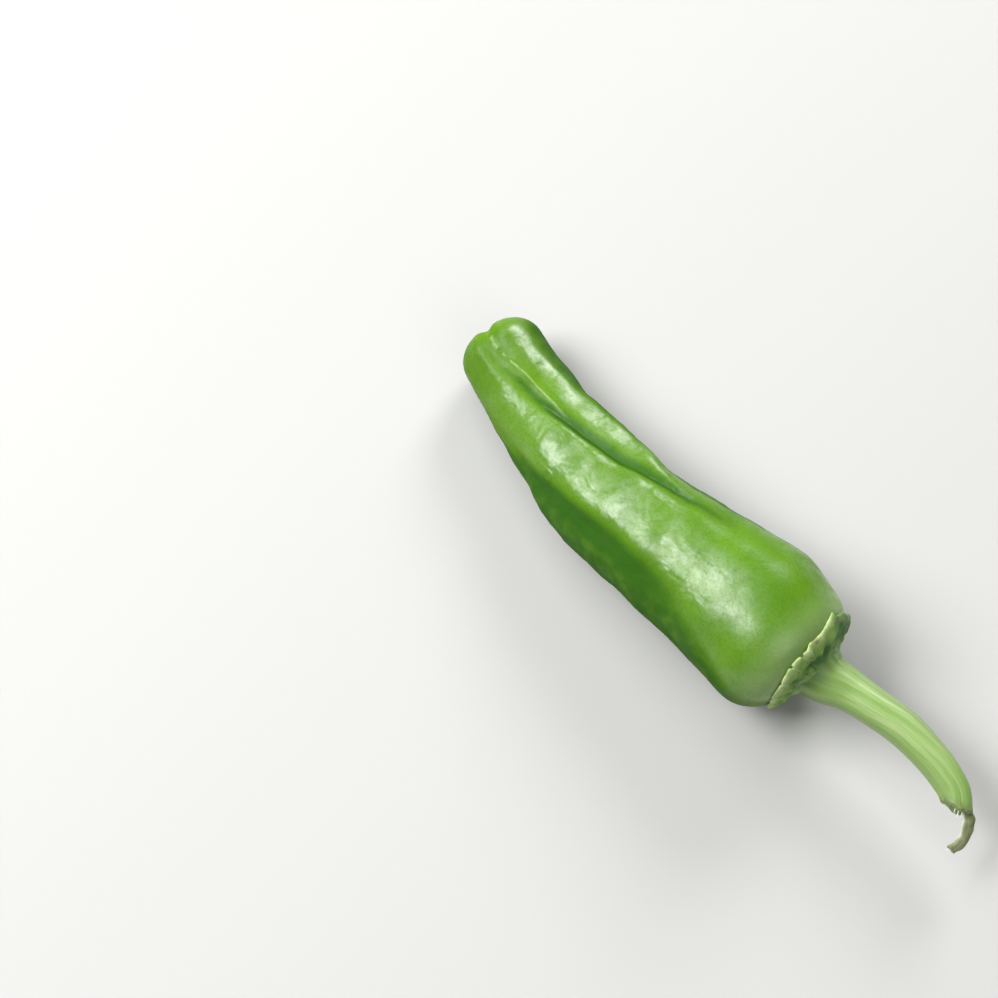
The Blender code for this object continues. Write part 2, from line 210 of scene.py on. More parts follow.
@dataclass
class Surface:
    """A closed surface over a grid of rings, with masks that its material reads."""

    rings: np.ndarray
    masks: dict[str, np.ndarray] = field(default_factory=dict)
    closed: bool = False

    def shell(self, first: int) -> tuple[np.ndarray, list[np.ndarray]]:
        """Numbers the grid's points and faces. An open grid gets a pole at each end.

        Args:
            first: the number of its first point.

        Returns:
            The points, and the faces' corners as arrays of quads and triangles.
        """
        count, columns = self.rings.shape[:2]
        points = self.rings.reshape(-1, 3)
        faces = [faces_between(count, columns, first, self.closed)]
        if not self.closed:
            poles = np.stack([self.rings[0].mean(axis=0), self.rings[-1].mean(axis=0)])
            points = np.concatenate([points, poles])
            pole = first + count * columns
            faces.append(fan(first, columns, pole)[:, ::-1])
            faces.append(fan(first + (count - 1) * columns, columns, pole + 1))
        triangles = [part[:, [0, 1, 2]] for part in faces] + [faces[0][:, [0, 2, 3]]]
        corners = points[np.concatenate(triangles) - first]
        volume = np.einsum("ij,ij->", corners[:, 0], np.cross(corners[:, 1], corners[:, 2]))
        return points, [part[:, ::-1] for part in faces] if volume < 0 else faces

    def mask_values(self, name: str, width: int) -> np.ndarray:
        """Reads a mask at every point, poles too.

        Args:
            name: the mask, which is zero on a surface that doesn't have it.
            width: 1 for a number, 3 for a vector.

        Returns:
            One row for each point.
        """
        grid = self.rings.shape[:2]
        values = self.masks.get(name, np.zeros((1, 1)))
        if values.ndim < 3:
            values = values[..., None]
        values = np.broadcast_to(values, (*grid, width))
        flat = values.reshape(-1, width)
        if self.closed:
            return flat
        return np.concatenate([flat, values[:1].mean(axis=1), values[-1:].mean(axis=1)])


def make_piece(name: str, surfaces: list[Surface], material: bpy.types.Material) -> bpy.types.Object:
    """Makes one object of some closed surfaces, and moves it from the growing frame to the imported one.

    Args:
        name: the piece's name.
        surfaces: the closed surfaces that it is made of.
        material: its finish.

    Returns:
        The object, at the origin, with its place in its mesh.
    """
    points, corners, starts, total = [], [], [], 0
    loops = 0
    for surface in surfaces:
        placed, faces = surface.shell(total)
        points.append((placed - MIDDLE) * MM)
        total += len(placed)
        for part in faces:
            starts.append(loops + np.arange(len(part)) * part.shape[1])
            corners.append(part.ravel())
            loops += part.size
    mesh = bpy.data.meshes.new(name)
    mesh.vertices.add(total)
    mesh.vertices.foreach_set("co", np.concatenate(points).ravel())
    mesh.loops.add(loops)
    mesh.loops.foreach_set("vertex_index", np.concatenate(corners))
    mesh.polygons.add(sum(len(part) for part in starts))
    mesh.polygons.foreach_set("loop_start", np.concatenate(starts))
    mesh.update(calc_edges=True)
    mesh.shade_smooth()
    widths = {
        mask: 3 if values.ndim == 3 else 1
        for surface in surfaces
        for mask, values in surface.masks.items()
    }
    for mask, width in sorted(widths.items()):
        values = np.concatenate([surface.mask_values(mask, width) for surface in surfaces])
        layer = mesh.attributes.new(mask, "FLOAT_VECTOR" if width == 3 else "FLOAT", "POINT")
        layer.data.foreach_set("vector" if width == 3 else "value", values.astype(np.float32).ravel())
    mesh.materials.append(material)
    made = bpy.data.objects.new(name, mesh)
    bpy.context.scene.collection.objects.link(made)
    log.info("%s: %d faces", name, len(mesh.polygons))
    return made


@dataclass(frozen=True)
class Mark:
    """A small mark at one place on the pod's skin, in millimetres and degrees."""

    x: float
    angle: float
    radius: float
    height: float


@dataclass
class Pod:
    """The pod: a bent, lobed body with grooves, a hammered skin and a smooth shoulder.

    The line's rows are x, y, z and the radius. In every other table, a row starts with x and the
    angle of a line round the pod there. What follows is a depth or height and a half-width, for a
    flat face its drop and the angle of its edge, and for the lit side half the angle that it covers.
    A skin wave is a height, waves along the pod, waves round it and a start angle.
    """

    line: Rows = (
        (0.0, 1.3, 7.1, 7.3),
        (8.0, -0.3, 6.85, 7.2),
        (13.0, -1.3, 7.0, 7.35),
        (17.0, -2.3, 7.25, 7.35),
        (24.5, -3.5, 8.0, 8.2),
        (32.6, -4.25, 8.75, 9.15),
        (44.5, -3.5, 10.35, 10.0),
        (55.0, -2.1, 11.3, 10.85),
        (65.0, -0.75, 11.7, 12.15),
        (71.5, -0.85, 11.5, 12.15),
        (76.0, 0.35, 11.05, 12.15),
    )
    heading_reach: float = 10.0
    tip_cap: tuple[float, float, float] = (5.2, 2.2, 2.5)
    shoulder_cap: tuple[float, float, float] = (13.0, 3.2, 4.8)
    ring_count: int = 380
    columns_between_grooves: tuple[int, int, int] = (76, 70, 102)
    closer_to_grooves: float = 0.45
    front_groove: Rows = (
        (0.0, -15.0, 0.75, 1.2),
        (3.0, -15.0, 0.8, 1.7),
        (8.0, -13.0, 0.6, 2.6),
        (16.5, 2.0, 0.7, 2.0),
        (22.0, 11.0, 0.9, 1.4),
        (33.5, 26.0, 0.9, 1.3),
        (44.5, 34.5, 0.65, 1.4),
        (53.0, 37.5, 0.35, 1.8),
        (60.0, 39.0, 0.0, 2.2),
        (76.0, 44.0, 0.0, 2.0),
    )
    side_groove: Rows = (
        (0.0, -100.0, 0.0, 2.0),
        (10.0, -92.0, 0.0, 2.0),
        (22.0, -74.0, 0.45, 2.1),
        (32.6, -58.0, 0.85, 2.2),
        (44.0, -52.0, 0.8, 2.5),
        (53.0, -54.0, 0.45, 2.8),
        (61.0, -56.0, 0.0, 3.0),
        (76.0, -58.0, 0.0, 3.0),
    )
    under_groove: Rows = (
        (0.0, 168.0, 0.7, 1.0),
        (7.0, 170.0, 1.0, 1.4),
        (22.0, 172.0, 0.9, 1.6),
        (38.0, 176.0, 0.6, 1.8),
        (50.0, 180.0, 0.0, 2.0),
        (76.0, 184.0, 0.0, 2.0),
    )
    groove_power: float = 1.7
    seam: Rows = (
        (0.0, -15.0, 0.0, 0.4),
        (2.5, -15.5, 0.14, 0.4),
        (5.0, -15.5, 0.18, 0.36),
        (8.0, -12.0, 0.22, 0.26),
        (11.0, -5.0, 0.28, 0.16),
        (15.8, 4.5, 0.28, 0.14),
        (20.0, 11.0, 0.2, 0.14),
        (23.5, 16.0, 0.0, 0.14),
        (76.0, 50.0, 0.0, 0.14),
    )
    seam_beads: tuple[float, int] = (2.2, 22)
    seam_gaps: tuple[float, float] = (-0.5, 0.3)
    seam_broken: float = 0.95
    seam_joined: float = 0.6
    seam_joins: tuple[float, float] = (9.0, 12.0)
    tip_face: Rows = (
        (0.0, 20.0, 0.0, 7.0),
        (4.0, 20.0, 0.0, 6.0),
        (8.0, 21.0, 0.0, 8.0),
        (12.0, 22.0, 0.0, 14.0),
        (16.0, 22.0, 0.0, 20.0),
        (22.0, 22.0, 0.0, 21.5),
        (76.0, 22.0, 0.0, 21.5),
    )
    welt: Rows = (
        (0.0, -18.0, 0.0, 0.8),
        (4.0, -19.0, 0.08, 0.8),
        (8.0, -15.0, 0.12, 0.8),
        (11.2, -5.0, 0.16, 0.9),
        (15.8, 6.0, 0.18, 0.95),
        (20.0, 11.0, 0.12, 0.9),
        (25.0, 16.0, 0.0, 0.9),
        (76.0, 50.0, 0.0, 0.9),
    )
    crease: Rows = (
        (0.0, -30.0, 0.0, 0.6),
        (7.0, -27.0, 0.05, 0.6),
        (10.5, -20.0, 0.15, 0.8),
        (13.0, -13.0, 0.25, 1.0),
        (16.2, -6.0, 0.3, 1.1),
        (19.6, 0.0, 0.32, 1.1),
        (22.3, 5.0, 0.28, 1.0),
        (25.5, 11.0, 0.2, 0.8),
        (31.0, 19.0, 0.0, 0.6),
        (76.0, 44.0, 0.0, 0.6),
    )
    hollow: Rows = (
        (0.0, -4.0, 0.0, 2.0),
        (8.0, -2.0, 0.0, 2.0),
        (16.0, 14.0, 0.0, 2.1),
        (24.0, 20.0, 0.08, 2.2),
        (33.0, 29.0, 0.1, 2.2),
        (42.0, 37.0, 0.1, 2.2),
        (52.0, 42.0, 0.0, 2.2),
        (76.0, 50.0, 0.0, 2.2),
    )
    right_face: Rows = (
        (0.0, 20.0, 0.0, 20.5),
        (5.0, 20.0, 0.0, 22.0),
        (12.0, 20.0, 0.05, 33.0),
        (17.0, 20.0, 0.15, 42.0),
        (22.0, 20.0, 0.25, 49.0),
        (28.0, 20.0, 0.3, 52.0),
        (34.0, 21.0, 0.3, 52.0),
        (38.0, 22.0, 0.2, 47.0),
        (44.0, 24.0, 0.0, 38.0),
        (52.0, 26.0, 0.0, 28.0),
        (76.0, 30.0, 0.0, 31.0),
    )
    left_face: Rows = (
        (0.0, -24.0, 0.0, -32.0),
        (5.0, -24.0, 0.0, -38.0),
        (8.0, -23.0, 0.0, -35.0),
        (11.6, -22.0, 0.0, -27.0),
        (14.6, -21.0, 0.0, -13.0),
        (16.6, -20.0, 0.0, -8.0),
        (18.7, -20.0, 0.0, -5.0),
        (22.0, -20.0, 0.0, -14.0),
        (26.0, -20.0, 0.0, -19.0),
        (76.0, -20.0, 0.0, -19.0),
    )
    face_soft: float = 2.5
    face_fall: float = 24.0
    face_drop_fade: tuple[float, float] = (-0.4, 0.1)
    flattened: Rows = (
        (0.0, -15.0, 0.0, 4.0),
        (18.0, -14.0, 0.1, 4.0),
        (28.0, -9.0, 0.35, 4.5),
        (40.0, -8.0, 0.5, 5.0),
        (52.0, -12.0, 0.5, 5.5),
        (62.0, -18.0, 0.5, 5.5),
        (70.0, -15.0, 0.15, 5.5),
        (76.0, -10.0, 0.0, 5.5),
    )
    right_flank: Rows = (
        (0.0, 75.0, 0.0, 4.0),
        (10.0, 75.0, 0.0, 4.0),
        (14.0, 75.0, 0.2, 4.0),
        (18.0, 75.0, 0.65, 4.0),
        (22.0, 75.0, 0.75, 4.0),
        (26.0, 75.0, 0.5, 4.0),
        (31.0, 75.0, 0.2, 4.0),
        (37.0, 75.0, 0.0, 4.0),
        (76.0, 75.0, 0.0, 4.0),
    )
    rubbed: Rows = (
        (0.0, 28.0, 0.0, 3.0),
        (36.0, 28.0, 0.0, 3.0),
        (44.0, 26.0, 0.3, 3.2),
        (52.0, 24.0, 0.6, 3.6),
        (64.0, 20.0, 0.65, 4.2),
        (72.0, 16.0, 0.4, 4.2),
        (76.0, 14.0, 0.0, 4.2),
    )
    rubbed_tip: Rows = (
        (0.0, -66.0, 0.4, 4.5),
        (8.0, -68.0, 0.45, 4.5),
        (13.0, -72.0, 0.3, 4.0),
        (18.0, -78.0, 0.0, 4.0),
        (76.0, -78.0, 0.0, 4.0),
    )
    skin_waves: Rows = (
        (0.12, 4.0, 2.0, 20.0),
        (0.08, 7.0, 3.0, 140.0),
        (0.05, 11.0, 2.0, 250.0),
    )
    waves_fade_in: tuple[float, float] = (4.0, 16.0)
    waves_fade_out: tuple[float, float] = (54.0, 64.0)
    small_lobe: float = 0.5
    small_lobe_fade: tuple[float, float] = (2.0, 14.0)
    dents: tuple[Mark, ...] = (
        Mark(29.0, -10.0, 2.4, -0.14),
        Mark(36.5, 2.0, 2.6, -0.12),
        Mark(53.5, -19.0, 1.7, -0.1),
        Mark(61.0, -7.0, 1.3, -0.05),
        Mark(22.0, -38.0, 2.2, 0.1),
    )
    hammered: tuple[tuple[float, float, int], ...] = (
        (0.03, 6.0, 11),
        (0.016, 2.6, 12),
        (0.01, 1.1, 13),
    )
    warp: tuple[float, float] = (0.6, 5.0)
    warp_seeds: tuple[int, int, int] = (14, 15, 16)
    hammered_fade_in: tuple[float, float] = (3.0, 10.0)
    hammered_fade_out: tuple[float, float] = (54.0, 70.0)
    shoulder_share: float = 0.12
    blemish: Mark = Mark(28.4, -48.0, 0.75, 0.12)
    blemish_rim: float = 0.3
    blemish_core: float = 0.35
    blemish_dip: float = 0.8
    blemish_mask: float = 0.5
    # The lit side: where the flanks' painted shade begins, and the half-angle that it covers.
    lit: Rows = (
        (0.0, -32.0, 60.0),
        (15.0, -30.0, 58.0),
        (25.0, -8.0, 45.0),
        (35.0, 2.0, 42.0),
        (50.0, 2.0, 44.0),
        (58.0, 3.0, 48.0),
        (66.0, 4.0, 64.0),
        (76.0, 2.0, 80.0),
    )
    lit_fade: float = 26.0
    lit_tip: tuple[float, float] = (0.3, 6.0)
    valley_at_tip: float = 0.3
    valley_fade: tuple[float, float] = (16.0, 28.0)
    valley_in_groove: float = 1.2
    valley_in_crease: float = 1.6
    dull_in_groove: float = 1.6
    dull_in_crease: float = 1.6
    dull_on_welt: float = 0.5
    seam_full: float = 0.2

    @property
    def length(self) -> float:
        """How long the pod is from its tip to the end under the stem."""
        return self.line[-1][0]

    def middle(self, x: np.ndarray) -> np.ndarray:
        """Returns the middle line's points at x."""
        return np.column_stack([x, through(self.line, x)[:, :2]])

    def frames(self, x: np.ndarray) -> tuple[np.ndarray, np.ndarray, np.ndarray]:
        """Returns the unit vectors along, across and above at x, from the middle line's heading."""
        ahead = self.middle(np.minimum(x + self.heading_reach, self.length))
        return frames(ahead - self.middle(np.maximum(x - self.heading_reach, 0)))

    def radius(self, x: np.ndarray) -> np.ndarray:
        """The rings' radius: the line's own, times a cap (1 - part^along)^(1 / across) at each end.

        Args:
            x: where the rings are.

        Returns:
            Each ring's radius, which shrinks to nothing at both ends.
        """
        full = through(self.line, x)[:, 2]
        for distance, (reach, along, across) in (
            (x, self.tip_cap),
            (self.length - x, self.shoulder_cap),
        ):
            part = np.clip(1 - distance / reach, 0, 1)
            full = full * (1 - part**along) ** (1 / across)
        return full

    def angles(self, x: np.ndarray) -> np.ndarray:
        """The columns' angles at x: three follow the grooves, and the others crowd up to them.

        Args:
            x: where the rings are.

        Returns:
            One row of angles in radians for each ring.
        """
        lines = [
            np.radians(through(rows, x)[:, 0])
            for rows in (self.front_groove, self.under_groove, self.side_groove)
        ]
        lines[2] = lines[2] + 2 * math.pi
        lines.append(lines[0] + 2 * math.pi)
        columns = []
        for start, end, count in zip(lines, lines[1:], self.columns_between_grooves):
            even = np.arange(count) / count
            share = even + self.closer_to_grooves * ((1 - np.cos(math.pi * even)) / 2 - even)
            columns.append(start[:, None] + (end - start)[:, None] * share)
        return np.concatenate(columns, axis=1)

    def groove_cut(self, x: np.ndarray, angle: np.ndarray, radius: np.ndarray) -> np.ndarray:
        """How deep the grooves are: for each, depth exp(-(off / width)^power), and the deepest counts.

        Args:
            x: where the rings are.
            angle: the columns' angles for each ring.
            radius: each ring's radius.

        Returns:
            The depth at each point.
        """
        cut = np.zeros_like(angle)
        for rows in (self.front_groove, self.side_groove, self.under_groove):
            line, depth, width = through(rows, x).T
            off = np.minimum(np.abs(angle_off(angle, line)), math.pi / 2)
            away = radius[:, None] * off / width[:, None]
            shape = np.exp(-(away**self.groove_power))
            cut = np.maximum(cut, np.maximum(depth, 0)[:, None] * shape)
        return cut

    def bell(self, rows: Rows, x: np.ndarray, angle: np.ndarray, radius: np.ndarray) -> np.ndarray:
        """A bell across a line along the pod: height exp(-(off / width)^2).

        Args:
            rows: x, and the line's angle, the bell's height and its half-width.
            x: where the rings are.
            angle: the columns' angles for each ring.
            radius: each ring's radius.

        Returns:
            The height at each point.
        """
        line, height, width = through(rows, x).T
        off = radius[:, None] * np.abs(angle_off(angle, line))
        return np.maximum(height, 0)[:, None] * hill(off, width[:, None])

    def face(self, rows: Rows, x: np.ndarray, angle: np.ndarray, radius: np.ndarray) -> np.ndarray:
        """How far a flat face along the lobe stands out: radius (1 / cos(turn) - 1), less a small drop.

        The turn is the angle past the face's middle. It stops softly at the face's edge, and beyond
        that the skin falls back to the round lobe.

        Args:
            rows: x, and the face's middle angle, its drop and its edge's angle.
            x: where the rings are.
            angle: the columns' angles for each ring.
            radius: each ring's radius.

        Returns:
            The height at each point.
        """
        middle, drop, edge = through(rows, x).T
        side = np.sign(edge - middle)[:, None]
        turn = side * angle_off(angle, middle)
        reach = np.radians(np.abs(edge - middle))[:, None]
        soft = math.radians(self.face_soft)
        held = turn - soft * np.logaddexp(0, (turn - reach) / soft)
        rise = radius[:, None] * (1 / np.cos(np.maximum(held, 0)) - 1)
        drop = drop[:, None] * fade(*self.face_drop_fade, turn)
        return (rise - drop) * (1 - fade(0, math.radians(self.face_fall), turn - reach))

    def seam_rise(
        self, x: np.ndarray, angle: np.ndarray, radius: np.ndarray, places: np.ndarray
    ) -> np.ndarray:
        """The thin raised seam beside the front groove: a narrow bell, broken into beads.

        Args:
            x: where the rings are.
            angle: the columns' angles for each ring.
            radius: each ring's radius.
            places: the points before they are moved.

        Returns:
            The height at each point.
        """
        line, height, width = through(self.seam, x).T
        off = radius[:, None] * np.abs(angle_off(angle, line))
        gaps = (self.seam_broken - self.seam_joined * fade(*self.seam_joins, x))[:, None]
        broken = 1 - gaps * fade(*self.seam_gaps, ripple(places, *self.seam_beads))
        return np.maximum(height, 0)[:, None] * hill(off, width[:, None]) * broken

    def spot(self, mark: Mark, x: np.ndarray, angle: np.ndarray, radius: np.ndarray) -> np.ndarray:
        """Returns how far each point lies from a mark's middle, as a share of its radius."""
        aside = radius[:, None] * np.abs(angle_off(angle, np.full(len(x), mark.angle)))
        return np.hypot(aside, (x - mark.x)[:, None]) / mark.radius

    def skin(self, x: np.ndarray, angle: np.ndarray, radius: np.ndarray, places: np.ndarray) -> np.ndarray:
        """The skin's height over the plain lobes: slow waves, dents, hammered bumps and a blemish.

        Args:
            x: where the rings are.
            angle: the columns' angles for each ring.
            radius: each ring's radius.
            places: the points before they are moved.

        Returns:
            The height at each point, in millimetres.
        """
        along = 2 * math.pi * (x / self.length)[:, None]
        slow = sum(
            tall * np.sin(many * along + round_it * angle + math.radians(start))
            for tall, many, round_it, start in self.skin_waves
        )
        slow = slow * (fade(*self.waves_fade_in, x) * (1 - fade(*self.waves_fade_out, x)))[:, None]
        strength = fade(*self.hammered_fade_in, x) * (1 - fade(*self.hammered_fade_out, x))
        strength = self.shoulder_share + (1 - self.shoulder_share) * strength
        reach, length = self.warp
        moved = [ripple(places, length, seed) for seed in self.warp_seeds]
        bent = places + reach * np.stack(moved, axis=-1)
        fine = sum(tall * ripple(bent, length, seed) for tall, length, seed in self.hammered)
        height = slow + strength[:, None] * fine
        for dent in self.dents:
            height = height + dent.height * hill(self.spot(dent, x, angle, radius), 1.0)
        away = self.spot(self.blemish, x, angle, radius)
        raised = hill(away - 1, self.blemish_rim) + hill(away, self.blemish_core)
        return height + self.blemish.height * (raised - hill(away, self.blemish_dip))

    def flank(self, x: np.ndarray, angle: np.ndarray) -> np.ndarray:
        """How far each point lies in the flanks, where shade is painted into the colour: a smooth step past
        the lit side's edge.

        Args:
            x: where the rings are.
            angle: the columns' angles for each ring.

        Returns:
            0 on the lit side and at the tip, and 1 on the flanks, which get painted shade.
        """
        line, half = through(self.lit, x).T
        off = np.degrees(np.abs(angle_off(angle, line)))
        return fade(0.0, self.lit_fade, off - half[:, None]) * fade(*self.lit_tip, x)[:, None]

    def form(self) -> Surface:
        """The pod: rings round its middle line, moved along their normals by the sum of its forms.

        Returns:
            The surface, with masks for the painted shade in its valleys and on its flanks, and for its dull
            places, seam, blemish and length.
        """
        turn = np.linspace(0, math.pi, self.ring_count)
        x = self.length * (1 - np.cos(turn)) / 2
        middle = self.middle(x)
        along, across, above = self.frames(x)
        radius = self.radius(x)
        angle = self.angles(x)
        plain = middle[:, None, :] + radius[:, None, None] * spokes(angle, across, above)
        normal = outward(plain, middle)
        normal[0], normal[-1] = -along[0], along[-1]
        cut = self.groove_cut(x, angle, radius)
        seam = self.seam_rise(x, angle, radius, plain)
        side = np.sin(angle) * (radius / radius.max())[:, None]
        drawn_in = self.small_lobe * (1 - fade(*self.small_lobe_fade, x))[:, None] * (1 - side) / 2
        faces = sum(
            self.face(rows, x, angle, radius) for rows in (self.right_face, self.left_face, self.tip_face)
        )
        bells = (
            self.flattened,
            self.welt,
            self.crease,
            self.hollow,
            self.right_flank,
            self.rubbed,
            self.rubbed_tip,
        )
        flattened, welt, crease, hollow, right_flank, rubbed, rubbed_tip = (
            self.bell(rows, x, angle, radius) for rows in bells
        )
        move = self.skin(x, angle, radius, plain) + faces - flattened - cut - drawn_in
        move = move + seam + welt + right_flank - crease - hollow
        points = plain + normal * move[..., None]
        points[..., 2] = np.maximum(points[..., 2], 0)
        # Painted shade in the grooves and the crease: how far the colour is darkened there.
        share = (self.valley_at_tip + (1 - self.valley_at_tip) * fade(*self.valley_fade, x))[:, None]
        valley = self.valley_in_groove * share * cut + self.valley_in_crease * crease - welt
        dull = self.dull_in_groove * cut + self.dull_in_crease * crease - self.dull_on_welt * welt
        masks = {
            "valley": np.clip(valley, 0, 1),
            "dull": np.clip(dull + rubbed + rubbed_tip, 0, 1),
            "seam": np.clip(seam / self.seam_full, 0, 1),
            "blemish": hill(self.spot(self.blemish, x, angle, radius), self.blemish_mask),
            # Painted shade on the flanks, which the skin's colour reads.
            "flank": self.flank(x, angle),
            "along": np.broadcast_to((x / self.length)[:, None], angle.shape),
        }
        return Surface(points, masks)

    def shoulder(self, radius: np.ndarray) -> tuple[np.ndarray, np.ndarray, np.ndarray]:
        """The shoulder's profile under the calyx.

        Args:
            radius: distances from the stem's axis.

        Returns:
            How far the skin lies behind the stem end there, and its normal's outward and endward parts.
        """
        full = self.line[-1][3]
        reach, along, across = self.shoulder_cap

        def behind(r: np.ndarray) -> np.ndarray:
            """Returns reach (1 - (1 - (r / full)^across)^(1 / along))."""
            return reach * (1 - (1 - (r / full) ** across) ** (1 / along))

        step = 0.01
        slope = (behind(radius + step) - behind(radius - step)) / (2 * step)
        size = np.sqrt(1 + slope**2)
        return behind(radius), slope / size, 1 / size

    def build(self, material: bpy.types.Material) -> bpy.types.Object:
        """Makes the pod's piece, in place of the CAD pod.

        Args:
            material: its finish.

        Returns:
            The piece, in its material slot.
        """
        made = make_piece("pod_skin_surface", [self.form()], material)
        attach(made, "root")
        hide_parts("pod")
        return made


@dataclass
class Calyx:
    """The calyx: grown-together sepals over the shoulder, from the stem's flare out to a thin edge.

    The rows of the edge and of its lift are an angle round the stem and a distance. Nicks are an
    angle, a width, what they add to the edge's distance and to its lift. The profiles' rows are the
    share of the way out to the edge and the height over the skin. Pits are an angle, a share of the
    way out, a width in degrees, a reach outwards and a depth.
    """

    pod: Pod
    edge: Rows = (
        (-115.0, 8.5),
        (-105.0, 9.0),
        (-95.0, 8.5),
        (-60.0, 8.85),
        (-45.0, 9.25),
        (-35.0, 9.6),
        (-25.0, 9.6),
        (-15.0, 9.5),
        (-5.0, 9.75),
        (0.0, 9.6),
        (10.0, 9.5),
        (20.0, 9.8),
        (25.0, 10.1),
        (30.0, 10.5),
        (36.0, 9.9),
        (60.0, 9.4),
        (80.0, 9.2),
        (95.0, 8.5),
        (125.0, 8.6),
        (140.0, 9.5),
        (155.0, 8.6),
        (185.0, 8.5),
        (200.0, 9.4),
        (215.0, 8.6),
    )
    edge_lift: Rows = (
        (-120.0, 0.1),
        (-105.0, 0.35),
        (-90.0, 0.05),
        (20.0, 0.1),
        (30.0, 0.35),
        (45.0, 0.3),
        (60.0, 0.55),
        (75.0, 0.6),
        (88.0, 0.4),
        (98.0, 0.15),
        (125.0, 0.05),
        (140.0, 0.3),
        (155.0, 0.05),
        (185.0, 0.05),
        (200.0, 0.3),
        (215.0, 0.05),
    )
    nicks: Rows = (
        (-17.0, 1.3, -0.7, -0.1),
        (-31.0, 1.2, -0.5, -0.05),
        (-11.0, 3.5, 0.12, 0.5),
        (-52.0, 2.0, -0.2, 0.1),
        (-84.0, 3.0, -0.25, 0.0),
        (33.5, 1.1, -0.5, 0.0),
        (47.0, 2.5, 0.15, 0.0),
        (55.0, 3.0, -0.2, 0.1),
        (112.0, 3.0, -0.3, 0.1),
        (170.0, 3.0, -0.3, 0.1),
        (-150.0, 2.5, -0.3, 0.1),
    )
    ragged: tuple[float, float] = (0.03, 1.5)
    ragged_seed: int = 31
    curl: tuple[float, float] = (0.1, 6.0)
    curl_seed: int = 32
    neck: float = 3.0
    outer_profile: Rows = (
        (0.0, 3.3),
        (0.076, 2.7),
        (0.152, 2.25),
        (0.227, 1.85),
        (0.303, 1.55),
        (0.417, 1.15),
        (0.53, 0.92),
        (0.652, 0.76),
        (0.788, 0.6),
        (0.924, 0.44),
        (0.975, 0.36),
        (1.0, 0.2),
    )
    inner_profile: Rows = ((0.0, -0.3), (0.7, -0.1), (0.9, 0.0), (1.0, 0.08))
    folds: float = 12.0
    fold_start: float = -13.0
    fold_depth: float = 0.16
    fold_in: tuple[float, float] = (0.3, 0.5)
    fold_out: tuple[float, float] = (0.6, 0.9)
    fold_wander: tuple[float, float, int] = (0.9, 8.0, 33)
    crumple: float = 0.1
    crumple_wave: tuple[float, int] = (1.7, 34)
    crumple_in: tuple[float, float] = (0.25, 0.5)
    crumple_out: tuple[float, float] = (0.75, 0.95)
    crumple_drop: float = 0.7
    pits: Rows = (
        (-22.0, 0.5, 11.0, 0.1, 0.45),
        (-3.0, 0.46, 13.0, 0.1, 0.4),
        (17.0, 0.41, 13.0, 0.12, 0.45),
        (-62.0, 0.25, 10.0, 0.1, 0.4),
        (-34.0, 0.66, 4.5, 0.07, 0.25),
        (-52.0, 0.57, 9.0, 0.1, 0.45),
        (-66.0, 0.42, 7.0, 0.07, 0.25),
        (-86.0, 0.56, 7.0, 0.1, 0.4),
        (26.0, 0.55, 4.0, 0.08, 0.3),
        (118.0, 0.5, 9.0, 0.12, 0.45),
        (150.0, 0.55, 7.0, 0.1, 0.4),
        (-172.0, 0.5, 9.0, 0.12, 0.5),
        (-140.0, 0.55, 6.0, 0.1, 0.4),
        (-118.0, 0.5, 8.0, 0.12, 0.45),
    )
    # The channel of painted shade between the flare and the edge: its angle, width in degrees, share of the
    # way out and reach.
    shade: tuple[float, float, float, float] = (2.0, 30.0, 0.4, 0.16)
    rib: tuple[float, float] = (5.0, 0.13)
    rib_out: tuple[float, float] = (0.3, 0.55)
    lift_in: tuple[float, float] = (0.35, 1.0)
    # Where shade is painted on the raised flap that faces away from the light: the angles where it fades in
    # and out.
    flap: tuple[float, float, float, float] = (24.0, 34.0, 95.0, 110.0)
    flap_in: tuple[float, float] = (0.35, 0.6)
    edge_band: tuple[float, float] = (0.84, 0.93)
    # How much less of the pale edge lies on the flap's painted shade.
    edge_on_flap: float = 0.7
    # How strongly the folds, crumples, pits and channel get painted shade.
    dark_in_folds: float = 0.5
    dark_in_crumple: float = 0.4
    dark_in_pits: float = 1.9
    dark_in_shade: float = 0.6
    grain_radius: float = 2.8
    stretch: float = 16.0
    columns: int = 720
    outer_rings: int = 64
    inner_rings: int = 16

    def rim(self, angle: np.ndarray) -> tuple[np.ndarray, np.ndarray]:
        """The edge's distance from the stem's axis and its lift: a table, some nicks and a fine ripple.

        Args:
            angle: the columns' angles, in radians.

        Returns:
            The distance and the lift for each column, in millimetres.
        """
        degrees = np.degrees(angle)
        places, radii = np.array(self.edge).T
        far = np.interp(degrees, places, radii, period=360)
        places, lifts = np.array(self.edge_lift).T
        lift = np.interp(degrees, places, lifts, period=360)
        for place, width, longer, higher in self.nicks:
            near = hill((degrees - place + 180) % 360 - 180, width)
            far = far + longer * near
            lift = lift + higher * near
        ring = np.column_stack([np.sin(angle), np.cos(angle), np.zeros_like(angle)]) * self.edge[0][1]
        far = far + self.ragged[0] * ripple(ring, self.ragged[1], self.ragged_seed)
        return far, lift + self.curl[0] * ripple(ring, self.curl[1], self.curl_seed)

    def sunk(self, degrees: np.ndarray, part: np.ndarray) -> np.ndarray:
        """How far the pits sink: a bell round the stem times a bell outwards for each.

        Args:
            degrees: the columns' angles.
            part: each ring's share of the way from the neck to the edge.

        Returns:
            The depth at each point, in millimetres.
        """
        depth = np.zeros((len(part), len(degrees)))
        for place, across_rim, width, reach, deep in self.pits:
            off = ((degrees - place + 180) % 360 - 180) / width
            depth = depth + deep * hill(off, 1.0) * hill((part - across_rim) / reach, 1.0)
        return depth

